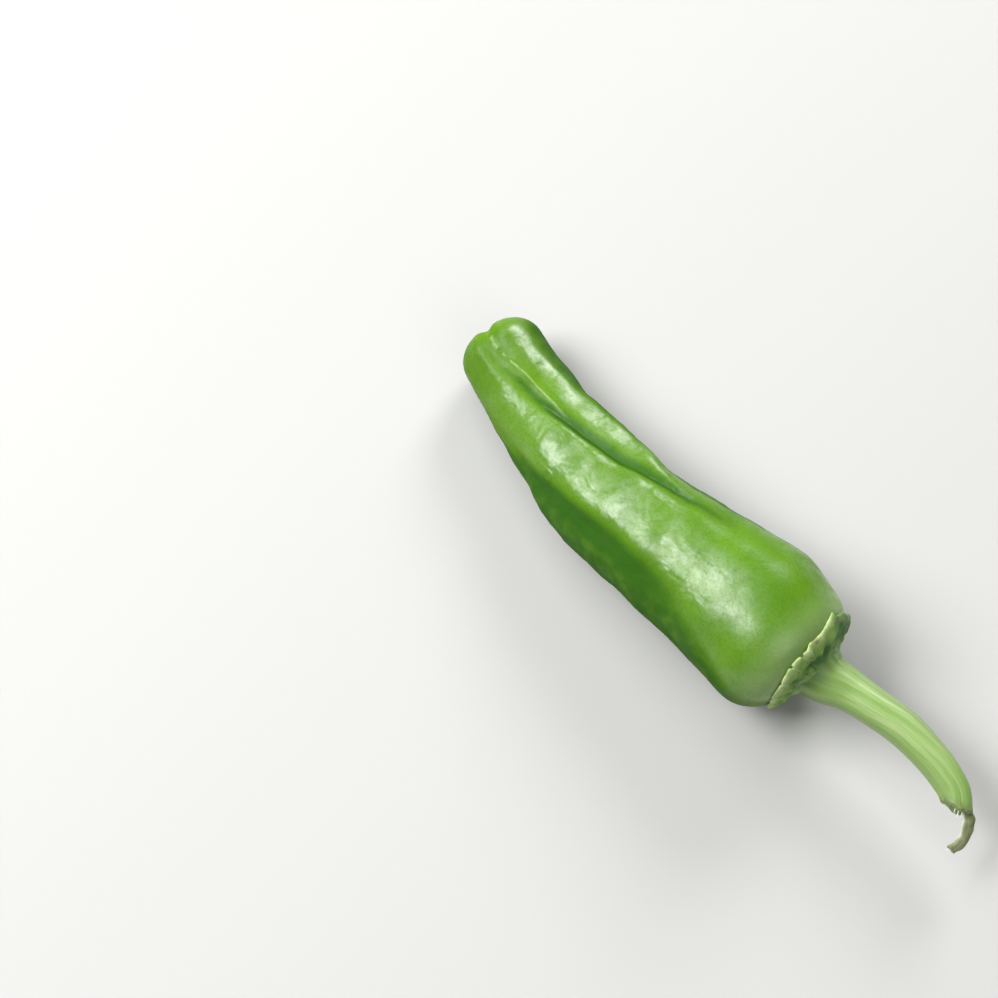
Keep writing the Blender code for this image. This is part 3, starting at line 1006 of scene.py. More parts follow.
    def form(self) -> Surface:
        """The calyx's surface: its profile out to the edge and back under it, carried round the stem.

        Its height over the skin is the profile's, less cosine folds between the flare and the edge,
        with a random crumple, and with the edge's lift fading in towards the edge.

        Returns:
            The closed surface, with masks for its pale edge, the painted shade in its folds, pits and
            channel and on its flap, its way outwards and its grain.
        """
        station = np.array([self.pod.length])
        end = self.pod.middle(station)[0]
        along, across, above = (row[0] for row in self.pod.frames(station))
        angle = np.linspace(0, 2 * math.pi, self.columns, endpoint=False)
        far, lift = self.rim(angle)
        out, back = np.linspace(0, 1, self.outer_rings), np.linspace(1, 0, self.inner_rings)
        part = np.concatenate([out, back])[:, None]
        outer = np.concatenate([np.ones_like(out), np.zeros_like(back)])[:, None]
        profile = np.concatenate([through(self.outer_profile, out), through(self.inner_profile, back)])
        radius = self.neck + part * (far - self.neck)
        spoke = np.sin(angle)[:, None] * across + np.cos(angle)[:, None] * above
        flat = np.stack([radius * np.sin(angle), radius * np.cos(angle), np.zeros_like(radius)], axis=-1)
        strength = fade(*self.fold_in, part) * (1 - fade(*self.fold_out, part))
        wander, length, seed = self.fold_wander
        turned = angle - math.radians(self.fold_start)
        wave = np.cos(self.folds * turned + wander * ripple(flat, length, seed))
        crumple = ripple(flat, *self.crumple_wave)
        degrees = (np.degrees(angle) + 180) % 360 - 180
        sunk = self.sunk(degrees, part)
        ribs, rib_height = self.rib
        rib = rib_height * np.cos(ribs * angle) * (1 - fade(*self.rib_out, part))
        kept = fade(*self.crumple_in, part) * (1 - self.crumple_drop * fade(*self.crumple_out, part))
        relief = rib + self.crumple * crumple * kept - self.fold_depth * strength * wave - sunk
        height = profile + outer * relief + lift * fade(*self.lift_in, part)
        behind, away, ahead = self.pod.shoulder(radius)
        points = end + (radius + height * away)[..., None] * spoke
        points = points + (height * ahead - behind)[..., None] * along
        # Painted shade on the flap.
        flap = fade(*self.flap[:2], degrees) * (1 - fade(*self.flap[2:], degrees))
        grain = np.broadcast_arrays(
            self.grain_radius * np.sin(angle),
            self.grain_radius * np.cos(angle),
            (self.neck - radius) / self.stretch,
        )
        place, width, across_rim, reach = self.shade
        shade = hill((degrees - place) / width, 1.0) * hill((part - across_rim) / reach, 1.0)
        # Painted shade: sunk folds, crumples, pits and the channel are darkened.
        dark = self.dark_in_folds * strength * (wave + self.dark_in_crumple * crumple)
        dark = dark + self.dark_in_pits * sunk + self.dark_in_shade * shade
        masks = {
            # The pale edge: partly the dry margin's own colour and partly a painted highlight, weaker on the
            # flap.
            "edge": fade(*self.edge_band, part) * (1 - self.edge_on_flap * flap),
            "fold": np.clip(outer * dark, 0, 1),
            "outward": part,
            "flap": flap * fade(*self.flap_in, part),
            "grain": np.stack(grain, axis=-1),
        }
        return Surface(points, masks, closed=True)

    def build(self, material: bpy.types.Material) -> bpy.types.Object:
        """Makes the calyx's piece, in place of the CAD calyx.

        Args:
            material: its finish.

        Returns:
            The piece, in its material slot.
        """
        made = make_piece("calyx_leaf", [self.form()], material)
        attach(made, "root")
        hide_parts("calyx")
        return made


@dataclass
class Stem:
    """The stem: a ribbed stalk that flares into the calyx, its torn end and the strip that hangs there.

    The line's rows are x, y, z and the radius, and the strip's are x, y, z, half its width and half
    its thickness. Each fibre is where it starts, how far its tip lies from there and its thickness.
    """

    line: Rows = (
        (76.5, 0.42, 11.02, 5.2),
        (77.1, 0.49, 10.98, 4.85),
        (77.65, 0.56, 10.95, 4.6),
        (78.2, 0.62, 10.91, 4.38),
        (78.95, 0.72, 10.87, 4.12),
        (82.3, 1.8, 11.05, 3.3),
        (87.5, 2.9, 11.4, 2.9),
        (92.3, 3.9, 11.4, 2.85),
        (97.3, 4.1, 11.3, 2.7),
        (101.8, 3.8, 11.0, 2.6),
        (104.9, 3.0, 10.6, 2.45),
        (107.2, 1.45, 10.25, 2.2),
    )
    ribs: float = 5.0
    rib_height: float = 0.12
    rib_turn: float = 40.0
    striae: tuple[tuple[float, float, int], ...] = ((0.035, 2.6, 41), (0.016, 0.9, 42))
    stretch: float = 16.0
    grain_radius: float = 2.8
    grain_length: float = 30.0
    columns: int = 180
    ring_count: int = 210
    end_rings: int = 24
    end_bulge: float = 0.55
    end_round: float = 0.5
    end_middle: float = 0.03
    torn: float = 0.1
    torn_from: float = 0.96
    ragged_from: float = 0.965
    ragged_wave: tuple[float, int] = (1.3, 43)
    rough_wave: tuple[float, int] = (0.8, 44)
    rough_in: tuple[float, float] = (0.0, 0.3)
    slant: float = 2.0
    slant_bend: float = 2.5
    step: float = 0.05
    strip_line: Rows = (
        (105.9, 3.3, 10.0, 0.7, 0.5),
        (107.3, 3.0, 9.75, 0.85, 0.5),
        (108.5, 2.4, 9.3, 0.9, 0.42),
        (109.4, 1.6, 8.8, 0.88, 0.4),
        (110.1, 0.5, 8.2, 0.85, 0.4),
        (110.5, -0.8, 7.7, 0.85, 0.4),
        (110.3, -2.6, 7.3, 0.8, 0.35),
    )
    strip_rings: int = 120
    strip_columns: int = 64
    strip_rough: float = 0.07
    strip_wave: tuple[float, int] = (1.1, 45)
    strip_stretch: Vector3 = (0.6, 0.6, 1.0)
    strip_frayed: float = 0.1
    strip_frayed_wave: tuple[float, int] = (0.7, 46)
    strip_frayed_in: tuple[float, float] = (0.93, 1.0)
    strip_torn_from: float = 0.9
    strip_length: float = 10.0
    strip_edge: float = 0.7
    strip_edge_power: float = 5.0
    fibres: tuple[tuple[Vector3, Vector3, float], ...] = (
        ((106.3, 1.75, 10.7), (0.5, -1.0, 0.1), 0.09),
        ((106.8, 2.0, 10.1), (0.7, -1.2, 0.0), 0.14),
        ((107.4, 2.3, 10.8), (0.5, -1.3, 0.1), 0.11),
        ((110.2, -2.2, 7.3), (-0.4, -0.8, -0.2), 0.1),
    )
    fibre_rings: int = 12
    fibre_columns: int = 8
    fibre_droop: float = 0.12
    fibre_taper: float = 0.75

    def along_line(self, rows: Rows, count: int) -> tuple[np.ndarray, np.ndarray, tuple]:
        """Reads a line's rows evenly by their number.

        Args:
            rows: x, y and z of a middle line, and then sizes.
            count: how many rings to read.

        Returns:
            The middle points, the sizes and the unit vectors along, across and above.
        """
        line = np.array(rows, float)
        table = np.column_stack([np.linspace(0, 1, len(line)), line])
        values = through(table, np.linspace(0, 1, count))
        return values[:, :3], values[:, 3:], frames(np.gradient(values[:, :3], axis=0))

    def centre(self, x: np.ndarray) -> tuple[np.ndarray, np.ndarray, np.ndarray, np.ndarray]:
        """The stalk's middle line at any places.

        Args:
            x: an array of places along it.

        Returns:
            For each place: the middle point, the radius, and the unit vectors across and above.
        """
        start, end = self.line[0][0], self.line[-1][0]
        flat = x.ravel()
        values = through(self.line, flat)
        before, after = np.maximum(flat - self.step, start), np.minimum(flat + self.step, end)
        rise = (through(self.line, after) - through(self.line, before))[:, :2]
        _, across, above = frames(np.column_stack([after - before, rise]))
        middle = np.column_stack([flat, values[:, :2]])
        middle, across, above = (part.reshape(*x.shape, 3) for part in (middle, across, above))
        return middle, values[:, 2].reshape(x.shape), across, above

    def stalk(self) -> Surface:
        """The stalk: rings with ribs and fine stripes that run along it, closed by a torn end.

        The end is cut slantwise: each column ends at its own place, up to the slant before the line's
        end on the -Y side.

        Returns:
            The surface, with masks for its length, its torn end and its grain.
        """
        angle = np.linspace(0, 2 * math.pi, self.columns, endpoint=False)
        share = np.broadcast_to(np.linspace(0, 1, self.ring_count)[:, None], (self.ring_count, self.columns))
        shorter = self.slant * ((1 - np.sin(angle)) / 2) ** self.slant_bend
        x = self.line[0][0] + share * (self.line[-1][0] - self.line[0][0] - shorter)
        middle, size, across, above = self.centre(x)
        turned = angle - np.radians(self.rib_turn) * share
        grain = np.stack(
            [
                self.grain_radius * np.sin(turned),
                self.grain_radius * np.cos(turned),
                share * self.grain_length / self.stretch,
            ],
            axis=-1,
        )
        fine = sum(tall * ripple(grain, length, seed) for tall, length, seed in self.striae)
        radius = size + self.rib_height * np.cos(self.ribs * turned) + fine
        spoke = np.sin(angle)[:, None] * across + np.cos(angle)[:, None] * above
        rings = middle + radius[..., None] * spoke
        heading = np.cross(across[-1, 0], above[-1, 0])
        ragged = fade(self.ragged_from, 1.0, share) * self.torn * ripple(grain[-1], *self.ragged_wave)
        rings = rings + ragged[..., None] * heading
        masks = {
            "along": np.concatenate([share, np.ones((self.end_rings, self.columns))]),
            "torn": np.concatenate(
                [fade(self.torn_from, 1.0, share), np.ones((self.end_rings, self.columns))]
            ),
            "grain": np.concatenate([grain, self.end_shares()[:, None, None] * grain[-1:]]),
        }
        return Surface(np.concatenate([rings, self.torn_end(rings[-1], heading)]), masks)

    def end_shares(self) -> np.ndarray:
        """Returns the torn end's rings as shares of the last ring's size, from its rim inwards."""
        turn = np.linspace(0, math.pi / 2, self.end_rings + 1)[1:]
        return np.maximum(np.cos(turn) ** self.end_round, self.end_middle)

    def torn_end(self, rim: np.ndarray, heading: np.ndarray) -> np.ndarray:
        """The torn end: rings that shrink to its middle, bulging ahead by the root of 1 - share^4.

        Args:
            rim: the stalk's last ring.
            heading: the direction in which the stalk ends.

        Returns:
            The end's rings, roughened towards the middle.
        """
        inward = self.end_shares()
        core = rim.mean(axis=0)
        disc = inward[:, None, None] * (rim - core)
        ahead = self.end_bulge * np.sqrt(np.maximum(1 - inward**4, 0))
        rough = self.torn * ripple(disc, *self.rough_wave) * fade(*self.rough_in, 1 - inward)[:, None]
        return core + disc + (ahead[:, None] + rough)[..., None] * heading

    def strip(self) -> Surface:
        """The torn strip: a flat oval with rough edges, carried along its hanging line.

        Returns:
            The surface, with masks for the strip, its pale edge, its torn tip, its place and its grain.
        """
        middle, sizes, (along, across, above) = self.along_line(self.strip_line, self.strip_rings)
        angle = np.linspace(0, 2 * math.pi, self.strip_columns, endpoint=False)
        angles = np.broadcast_to(angle, (self.strip_rings, self.strip_columns))
        wide = sizes[:, :1] * np.sin(angles)
        thick = sizes[:, 1:] * np.cos(angles)
        away = wide[..., None] * across[:, None, :] + thick[..., None] * above[:, None, :]
        rings = middle[:, None, :] + away
        away = away / np.linalg.norm(away, axis=-1, keepdims=True)
        rough = self.strip_rough * ripple(rings * np.array(self.strip_stretch), *self.strip_wave)
        share = np.linspace(0, 1, self.strip_rings)[:, None]
        frayed = self.strip_frayed * ripple(rings, *self.strip_frayed_wave)
        frayed = fade(*self.strip_frayed_in, share) * frayed
        rings = rings + rough[..., None] * away + frayed[..., None] * along[:, None, :]
        along_strip = np.broadcast_to(share * self.strip_length / self.stretch, angles.shape)
        masks = {
            "strip": np.ones(angles.shape),
            "strip_edge": self.strip_edge * np.clip(-np.sin(angles), 0, 1) ** self.strip_edge_power,
            "torn": np.broadcast_to(fade(self.strip_torn_from, 1.0, share), angles.shape),
            "along": np.ones(angles.shape),
            "grain": np.stack([wide, thick, along_strip], axis=-1),
        }
        return Surface(rings, masks)

    def fibre(self, start: Vector3, aim: Vector3, thickness: float) -> Surface:
        """A torn fibre: a thin round tube from a place along its aim, which droops and tapers to its tip.

        Args:
            start: where it begins, in millimetres.
            aim: how far its tip lies from its start.
            thickness: its radius at its start.

        Returns:
            The fibre's surface.
        """
        share = np.linspace(0, 1, self.fibre_rings)
        droop = self.fibre_droop * (share**2)[:, None] * UP
        middle = np.array(start) + share[:, None] * np.array(aim) - droop
        _, across, above = frames(np.gradient(middle, axis=0))
        angle = np.linspace(0, 2 * math.pi, self.fibre_columns, endpoint=False)
        angles = np.broadcast_to(angle, (self.fibre_rings, self.fibre_columns))
        radius = thickness * (1 - self.fibre_taper * share)
        rings = middle[:, None, :] + radius[:, None, None] * spokes(angles, across, above)
        return Surface(rings, {"pith": np.ones(angles.shape), "along": np.ones(angles.shape)})

    def build(self, material: bpy.types.Material) -> bpy.types.Object:
        """Makes the stem's piece, in place of the CAD stem.

        Args:
            material: its finish.

        Returns:
            The piece, in its material slot.
        """
        fibres = [self.fibre(*row) for row in self.fibres]
        made = make_piece("stem_stalk", [self.stalk(), self.strip(), *fibres], material)
        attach(made, "root")
        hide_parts("stem")
        return made


class Tree:
    """A node tree that is filled one node at a time."""

    def __init__(self, tree: bpy.types.NodeTree) -> None:
        """Keeps the tree."""
        self.tree = tree

    def add(
        self, kind: str, inputs: dict[str | int, object] | None = None, **settings: object
    ) -> bpy.types.Node:
        """Adds a node.

        Args:
            kind: the node's type.
            inputs: values or output sockets, by the name or number of the input.
            settings: the node's own properties.

        Returns:
            The node.
        """
        node = self.tree.nodes.new(kind)
        for name, value in settings.items():
            setattr(node, name, value)
        self.feed(node, inputs or {})
        return node

    def feed(self, node: bpy.types.Node, inputs: dict[str | int, object]) -> None:
        """Gives a node its inputs: an output socket is linked, and a plain value is set on the input.

        Args:
            node: the node.
            inputs: values or output sockets, by the name or number of the input.
        """
        for name, value in inputs.items():
            if isinstance(value, bpy.types.NodeSocket):
                self.tree.links.new(value, node.inputs[name])
            else:
                node.inputs[name].default_value = value

    def place(self) -> bpy.types.NodeSocket:
        """Returns the object's own coordinates."""
        return self.add("ShaderNodeTexCoord").outputs["Object"]

    def mask(self, name: str, vector: bool = False) -> bpy.types.NodeSocket:
        """Returns a mask that the piece's mesh holds."""
        node = self.add("ShaderNodeAttribute", attribute_name=name)
        return node.outputs["Vector" if vector else "Fac"]

    def math(self, operation: str, a: object, b: object = 0.0) -> bpy.types.NodeSocket:
        """Returns the result of a sum on two values."""
        return self.add("ShaderNodeMath", {0: a, 1: b}, operation=operation, use_clamp=True).outputs[0]

    def between(
        self, value: object, low: float, high: float, start: float = 0.0, end: float = 1.0
    ) -> bpy.types.NodeSocket:
        """Gives start below low, end above high and a smooth step between them.

        Args:
            value: the value to read.
            low: where the step starts.
            high: where it ends.
            start: what comes out at low.
            end: what comes out at high.

        Returns:
            The output socket.
        """
        node = self.add(
            "ShaderNodeMapRange",
            {"Value": value, 1: low, 2: high, 3: start, 4: end},
            interpolation_type="SMOOTHSTEP",
        )
        return node.outputs[0]

    def mix(self, share: object, first: object, second: object) -> bpy.types.NodeSocket:
        """Returns the first colour with a share of the second in it."""
        return self.add("ShaderNodeMix", {0: share, 6: first, 7: second}, data_type="RGBA").outputs[2]

    def times(self, a: object, b: object) -> bpy.types.NodeSocket:
        """Returns the product of two values."""
        return self.math("MULTIPLY", a, b)

    def effect(self, group: bpy.types.NodeTree, inputs: dict[str | int, object]) -> bpy.types.NodeSocket:
        """Places a shared effect with its own values and returns what it puts out."""
        return self.add("ShaderNodeGroup", inputs, node_tree=group).outputs[0]


class Effects:
    """The effects that several materials share, each a node group that is built once."""

    pore_detail: float = 2.0
    finer_scale: float = 3.0
    finer_share: float = 0.35

    def __init__(self) -> None:
        """Builds the groups."""
        self.mottle = self.build_mottle()
        self.freckles = self.build_freckles()
        self.pores = self.build_pores()

    def group(
        self, name: str, inputs: dict[str, float], output: tuple[str, str]
    ) -> tuple[bpy.types.NodeTree, Tree, bpy.types.Node]:
        """Starts a group with a Vector input, the named numbers and one output.

        Args:
            name: the group's name.
            inputs: each number's name and starting value.
            output: the output's name and socket type.

        Returns:
            The group, its tree and its input node.
        """
        made = bpy.data.node_groups.new(name, "ShaderNodeTree")
        made.interface.new_socket("Vector", in_out="INPUT", socket_type="NodeSocketVector")
        for label, value in inputs.items():
            socket = made.interface.new_socket(label, in_out="INPUT", socket_type="NodeSocketFloat")
            socket.default_value = value
        made.interface.new_socket(output[0], in_out="OUTPUT", socket_type=output[1])
        tree = Tree(made)
        return made, tree, tree.add("NodeGroupInput")

    def build_mottle(self) -> bpy.types.NodeTree:
        """Soft patches: layered noise at a scale, stretched from Low and High to 0 and 1.

        Returns:
            The group.
        """
        made, tree, given = self.group(
            "mottle", {"Scale": 500.0, "Detail": 4.0, "Low": 0.35, "High": 0.65}, ("Mask", "NodeSocketFloat")
        )
        noise = tree.add(
            "ShaderNodeTexNoise",
            {name: given.outputs[name] for name in ("Vector", "Scale", "Detail")},
        )
        stretched = tree.add(
            "ShaderNodeMapRange",
            {"Value": noise.outputs["Fac"], 1: given.outputs["Low"], 2: given.outputs["High"]},
            interpolation_type="SMOOTHSTEP",
        )
        tree.add("NodeGroupOutput", {"Mask": stretched.outputs[0]})
        return made

    def build_freckles(self) -> bpy.types.NodeTree:
        """Sparse small dots: the middles of a share of Voronoi cells.

        Returns:
            The group.
        """
        made, tree, given = self.group(
            "freckles", {"Scale": 300.0, "Size": 0.15, "Share": 0.2}, ("Mask", "NodeSocketFloat")
        )
        cells = tree.add(
            "ShaderNodeTexVoronoi",
            {"Vector": given.outputs["Vector"], "Scale": given.outputs["Scale"]},
        )
        near = tree.add(
            "ShaderNodeMapRange",
            {"Value": cells.outputs["Distance"], 1: 0.0, 2: given.outputs["Size"], 3: 1.0, 4: 0.0},
            interpolation_type="SMOOTHSTEP",
        )
        hue = tree.add("ShaderNodeSeparateColor", {0: cells.outputs["Color"]})
        lot = {0: hue.outputs[0], 1: given.outputs["Share"]}
        chosen = tree.add("ShaderNodeMath", lot, operation="LESS_THAN")
        tree.add("NodeGroupOutput", {"Mask": tree.times(near.outputs[0], chosen.outputs[0])})
        return made

    def build_pores(self) -> bpy.types.NodeTree:
        """A finely pitted normal: a Bump over the sum of two noises, the second read from the first.

        Returns:
            The group.
        """
        made, tree, given = self.group(
            "pores",
            {"Scale": 900.0, "Strength": 0.3, "Depth": 0.00006, "Bend": 0.0},
            ("Normal", "NodeSocketVector"),
        )
        coarse = tree.add(
            "ShaderNodeTexNoise",
            {
                "Vector": given.outputs["Vector"],
                "Scale": given.outputs["Scale"],
                "Detail": self.pore_detail,
                "Distortion": given.outputs["Bend"],
            },
        )
        finer = tree.add(
            "ShaderNodeTexNoise",
            {"Vector": coarse.outputs["Color"], "Scale": self.finer_scale, "Detail": self.pore_detail},
        )
        large = tree.times(coarse.outputs["Fac"], 1 - self.finer_share)
        small = tree.times(finer.outputs["Fac"], self.finer_share)
        height = tree.math("ADD", small, large)
        bump = tree.add(
            "ShaderNodeBump",
            {"Strength": given.outputs["Strength"], "Distance": given.outputs["Depth"], "Height": height},
        )
        tree.add("NodeGroupOutput", {"Normal": bump.outputs[0]})
        return made


def new_material(name: str) -> tuple[bpy.types.Material, Tree, bpy.types.Node]:
    """Makes a material of one Principled shader.

    Args:
        name: the material's name.

    Returns:
        The material, its tree and its shader.
    """
    material = bpy.data.materials.new(name)
    material.use_nodes = True
    material.node_tree.nodes.clear()
    tree = Tree(material.node_tree)
    shader = tree.add("ShaderNodeBsdfPrincipled")
    tree.add("ShaderNodeOutputMaterial", {"Surface": shader.outputs[0]})
    return material, tree, shader


Colour = tuple[float, float, float, float]


@dataclass(frozen=True)
class Mottle:
    """Soft patches: the noise's scale and detail, and which of its values become 0 and 1."""

    scale: float
    detail: float
    low: float
    high: float

    def laid(self, tree: Tree, effects: Effects, vector: bpy.types.NodeSocket) -> bpy.types.NodeSocket:
        """Lays the shared mottle effect with these values.

        Args:
            tree: the material's tree.
            effects: the shared effects.
            vector: the places that it reads.

        Returns:
            The mask, from 0 to 1.
        """
        values = {"Scale": self.scale, "Detail": self.detail, "Low": self.low, "High": self.high}
        return tree.effect(effects.mottle, {"Vector": vector, **values})


@dataclass(frozen=True)
class Pores:
    """A finely pitted surface: its scale, strength, depth in metres and bend."""

    scale: float
    strength: float
    depth: float
    bend: float = 0.0

    def laid(self, tree: Tree, effects: Effects, vector: bpy.types.NodeSocket) -> bpy.types.NodeSocket:
        """Lays the shared pores effect with these values.

        Args:
            tree: the material's tree.
            effects: the shared effects.
            vector: the places that it reads.

        Returns:
            The normal.
        """
        values = {"Scale": self.scale, "Strength": self.strength, "Depth": self.depth, "Bend": self.bend}
        return tree.effect(effects.pores, {"Vector": vector, **values})


@dataclass(frozen=True)
class WaxySkin:
    """The pod's skin: glossy wax over mottled greens, with painted shade in the valleys and on the flanks,
    pale on the seam.
    """

    tip: Colour = (0.09, 0.195, 0.009, 1.0)
    body: Colour = (0.082, 0.19, 0.008, 1.0)
    shoulder: Colour = (0.084, 0.195, 0.008, 1.0)
    # A darker green for random patches, also used for the painted shade on the flanks and in the valleys.
    deep: Colour = (0.02, 0.078, 0.006, 1.0)
    seam: Colour = (0.42, 0.56, 0.25, 1.0)
    speck: Colour = (0.40, 0.55, 0.22, 1.0)
    scar: Colour = (0.05, 0.13, 0.02, 1.0)
    roughness: float = 0.5
    specular: float = 0.0
    coat: float = 1.0
    flank_coat: float = 0.2
    coat_roughness: float = 0.34
    coat_ior: float = 1.6
    # How much painted shade darkens the flanks.
    flank_shade_share: float = 0.88
    valley_shade_share: float = 0.85
    ripening: tuple[float, float, float, float] = (0.05, 0.3, 0.6, 0.85)
    broad: Mottle = Mottle(110.0, 3.0, 0.4, 0.7)
    broad_share: float = 0.3
    cells: Mottle = Mottle(420.0, 5.0, 0.4, 0.75)
    cells_share: float = 0.4
    grain: Mottle = Mottle(2600.0, 2.0, 0.4, 0.7)
    grain_share: float = 0.2
    # Where and how much the grooves and the crease are darkened with painted shade.
    valley_from: float = 0.1
    valley_full: float = 0.8
    seam_share: float = 0.33
    # Painted light: from where towards the stem end, and how much, the pod is made paler next to the calyx.
    calyx_light_from: float = 0.9
    calyx_light_share: float = 0.35
    freckle_scale: float = 260.0
    freckle_size: float = 0.07
    freckle_count: float = 0.16
    freckle_share: float = 0.8
    scar_share: float = 0.6
    wear: Mottle = Mottle(300.0, 3.0, 0.3, 0.7)
    wear_smooth: float = -0.05
    wear_rough: float = 0.07
    pores: Pores = Pores(900.0, 0.7, 0.00006, 1.6)
    dull_full: float = 0.6
    thin_wax: float = 0.75
    worn_from: float = 0.2
    worn_full: float = 0.8
    worn_wax: float = 0.6

    def dress(self, effects: Effects) -> bpy.types.Material:
        """Builds the skin: a coat over mottled greens, thinner on the flanks and in the valleys.

        Args:
            effects: the effects that the materials share.

        Returns:
            The material.
        """
        material, tree, shader = new_material("waxy_pod_skin")
        place = tree.place()
        grainy = self.grain.laid(tree, effects, place)
        worn = self.wear.laid(tree, effects, place)
        flank = tree.mask("flank")
        smooth, coarse = self.roughness + self.wear_smooth, self.roughness + self.wear_rough
        dull = tree.math("MAXIMUM", flank, tree.mask("dull"))
        wax = tree.between(dull, 0.0, self.dull_full, self.coat, self.flank_coat)
        thin = tree.between(grainy, 0.0, 1.0, 1.0, self.thin_wax)
        patchy = tree.between(worn, self.worn_from, self.worn_full, 1.0, self.worn_wax)
        finish = {
            "Base Color": self.flesh(tree, effects, place, grainy, flank),
            "Roughness": tree.between(worn, 0.0, 1.0, smooth, coarse),
            "Normal": self.pores.laid(tree, effects, place),
            "Specular IOR Level": self.specular,
            "Coat Weight": tree.times(wax, tree.times(thin, patchy)),
            "Coat Roughness": self.coat_roughness,
            "Coat IOR": self.coat_ior,
        }
        tree.feed(shader, finish)
        return material

    def flesh(
        self,
        tree: Tree,
        effects: Effects,
        place: bpy.types.NodeSocket,
        grainy: bpy.types.NodeSocket,
        flank: bpy.types.NodeSocket,
    ) -> bpy.types.NodeSocket:
        """The colour under the wax: green flesh, darker in patches, with painted shade on the flanks and in
        the valleys and painted light next to the calyx.

        Args:
            tree: the material's tree.
            effects: the shared effects.
            place: the places that the patches read.
            grainy: the finest patches.
            flank: the mask of the flanks' painted shade.

        Returns:
            The colour.
        """
        along = tree.mask("along")
        tip_end, body_start, body_end, shoulder_start = self.ripening
        colour = tree.mix(tree.between(along, tip_end, body_start), self.tip, self.body)
        colour = tree.mix(tree.between(along, body_end, shoulder_start), colour, self.shoulder)
        # Painted shade: the flanks are mixed towards the deep green.
        colour = tree.mix(tree.times(flank, self.flank_shade_share), colour, self.deep)
        broad = self.broad.laid(tree, effects, place)
        colour = tree.mix(tree.times(broad, self.broad_share), colour, self.deep)
        cells = self.cells.laid(tree, effects, place)
        colour = tree.mix(tree.times(cells, self.cells_share), colour, self.tip)
        colour = tree.mix(tree.times(grainy, self.grain_share), colour, self.deep)
        # Painted shade: the grooves and the crease are mixed towards the deep green.
        sunk = tree.mask("valley")
        valley = tree.between(sunk, self.valley_from, self.valley_full, 0.0, self.valley_shade_share)
        colour = tree.mix(valley, colour, self.deep)
        colour = tree.mix(tree.times(tree.mask("seam"), self.seam_share), colour, self.seam)
        # Painted light: the shoulder next to the calyx is mixed towards the pale seam colour.
        painted_calyx_light = tree.between(along, self.calyx_light_from, 1.0, 0.0, self.calyx_light_share)
        colour = tree.mix(painted_calyx_light, colour, self.seam)
        values = {"Scale": self.freckle_scale, "Size": self.freckle_size, "Share": self.freckle_count}
        specks = tree.effect(effects.freckles, {"Vector": place, **values})
        colour = tree.mix(tree.times(specks, self.freckle_share), colour, self.speck)
        return tree.mix(tree.times(tree.mask("blemish"), self.scar_share), colour, self.scar)


@dataclass(frozen=True)
class SepalLeaf:
    """The calyx's leaf: matt dark green with painted shade in its folds, pits and on its flap, a pale edge
    that is partly dry margin and partly painted highlight, and a few brown spots.
    """

    leaf: Colour = (0.18, 0.335, 0.055, 1.0)
    # The green of the painted shade in the folds, pits and inner recess.
    fold: Colour = (0.04, 0.135, 0.03, 1.0)
    neck: Colour = (0.20, 0.33, 0.09, 1.0)
    stripe: Colour = (0.29, 0.43, 0.13, 1.0)
    # The pale edge: a dry margin's colour that also serves as a painted highlight.
    edge: Colour = (0.40, 0.49, 0.22, 1.0)
    # The dark green of the flap's painted shade.
    flap: Colour = (0.035, 0.13, 0.02, 1.0)
    dry: Colour = (0.14, 0.13, 0.05, 1.0)
    roughness: float = 0.55
    specular: float = 0.3
    stripes: Mottle = Mottle(1.6, 4.0, 0.35, 0.65)
    leaf_in: tuple[float, float] = (0.35, 0.6)
    patches: Mottle = Mottle(900.0, 4.0, 0.35, 0.7)
    patch_share: float = 0.5
    shade: Mottle = Mottle(620.0, 3.0, 0.45, 0.65)
    shade_out: tuple[float, float] = (0.55, 0.8)
    shade_share: float = 0.55
    fold_share: float = 0.9
    flap_shade_share: float = 0.85
    edge_share: float = 0.55
    spots: Mottle = Mottle(500.0, 3.0, 0.56, 0.66)
    spots_in: tuple[float, float] = (0.6, 0.85)
    spot_share: float = 0.65
    pores: Pores = Pores(1500.0, 0.5, 0.0001)

    def dress(self, effects: Effects) -> bpy.types.Material:
        """Builds the leaf: matt greens, with its neck striped as the stem is.

        Args:
            effects: the effects that the materials share.

        Returns:
            The material.
        """
        material, tree, shader = new_material("matt_calyx_leaf")
        place = tree.place()
        outward_share = tree.mask("outward")
        stripes = self.stripes.laid(tree, effects, tree.mask("grain", vector=True))
        neck = tree.mix(stripes, self.neck, self.stripe)
        colour = tree.mix(tree.between(outward_share, *self.leaf_in), neck, self.leaf)
        patches = self.patches.laid(tree, effects, place)
        colour = tree.mix(tree.times(patches, self.patch_share), colour, self.stripe)
        # Painted shade: patches darkened in the recess between the neck and the edge.
        inner = tree.between(outward_share, *self.shade_out, self.shade_share, 0.0)
        shaded = tree.times(self.shade.laid(tree, effects, place), inner)
        colour = tree.mix(shaded, colour, self.fold)
        # Painted shade from the folds, pits and channel.
        colour = tree.mix(tree.times(tree.mask("fold"), self.fold_share), colour, self.fold)
        # Painted shade: the flap is mixed towards a dark green.
        colour = tree.mix(tree.times(tree.mask("flap"), self.flap_shade_share), colour, self.flap)
        # The pale edge, partly dry margin and partly painted highlight.
        margin = tree.times(tree.mask("edge"), tree.between(patches, 0.0, 1.0, self.edge_share, 1.0))
        colour = tree.mix(margin, colour, self.edge)
        outer = tree.between(outward_share, *self.spots_in, 0.0, self.spot_share)
        spots = tree.times(self.spots.laid(tree, effects, place), outer)
        finish = {
            "Base Color": tree.mix(spots, colour, self.dry),
            "Roughness": self.roughness,
            "Normal": self.pores.laid(tree, effects, place),
            "Specular IOR Level": self.specular,
        }
        tree.feed(shader, finish)
        return material


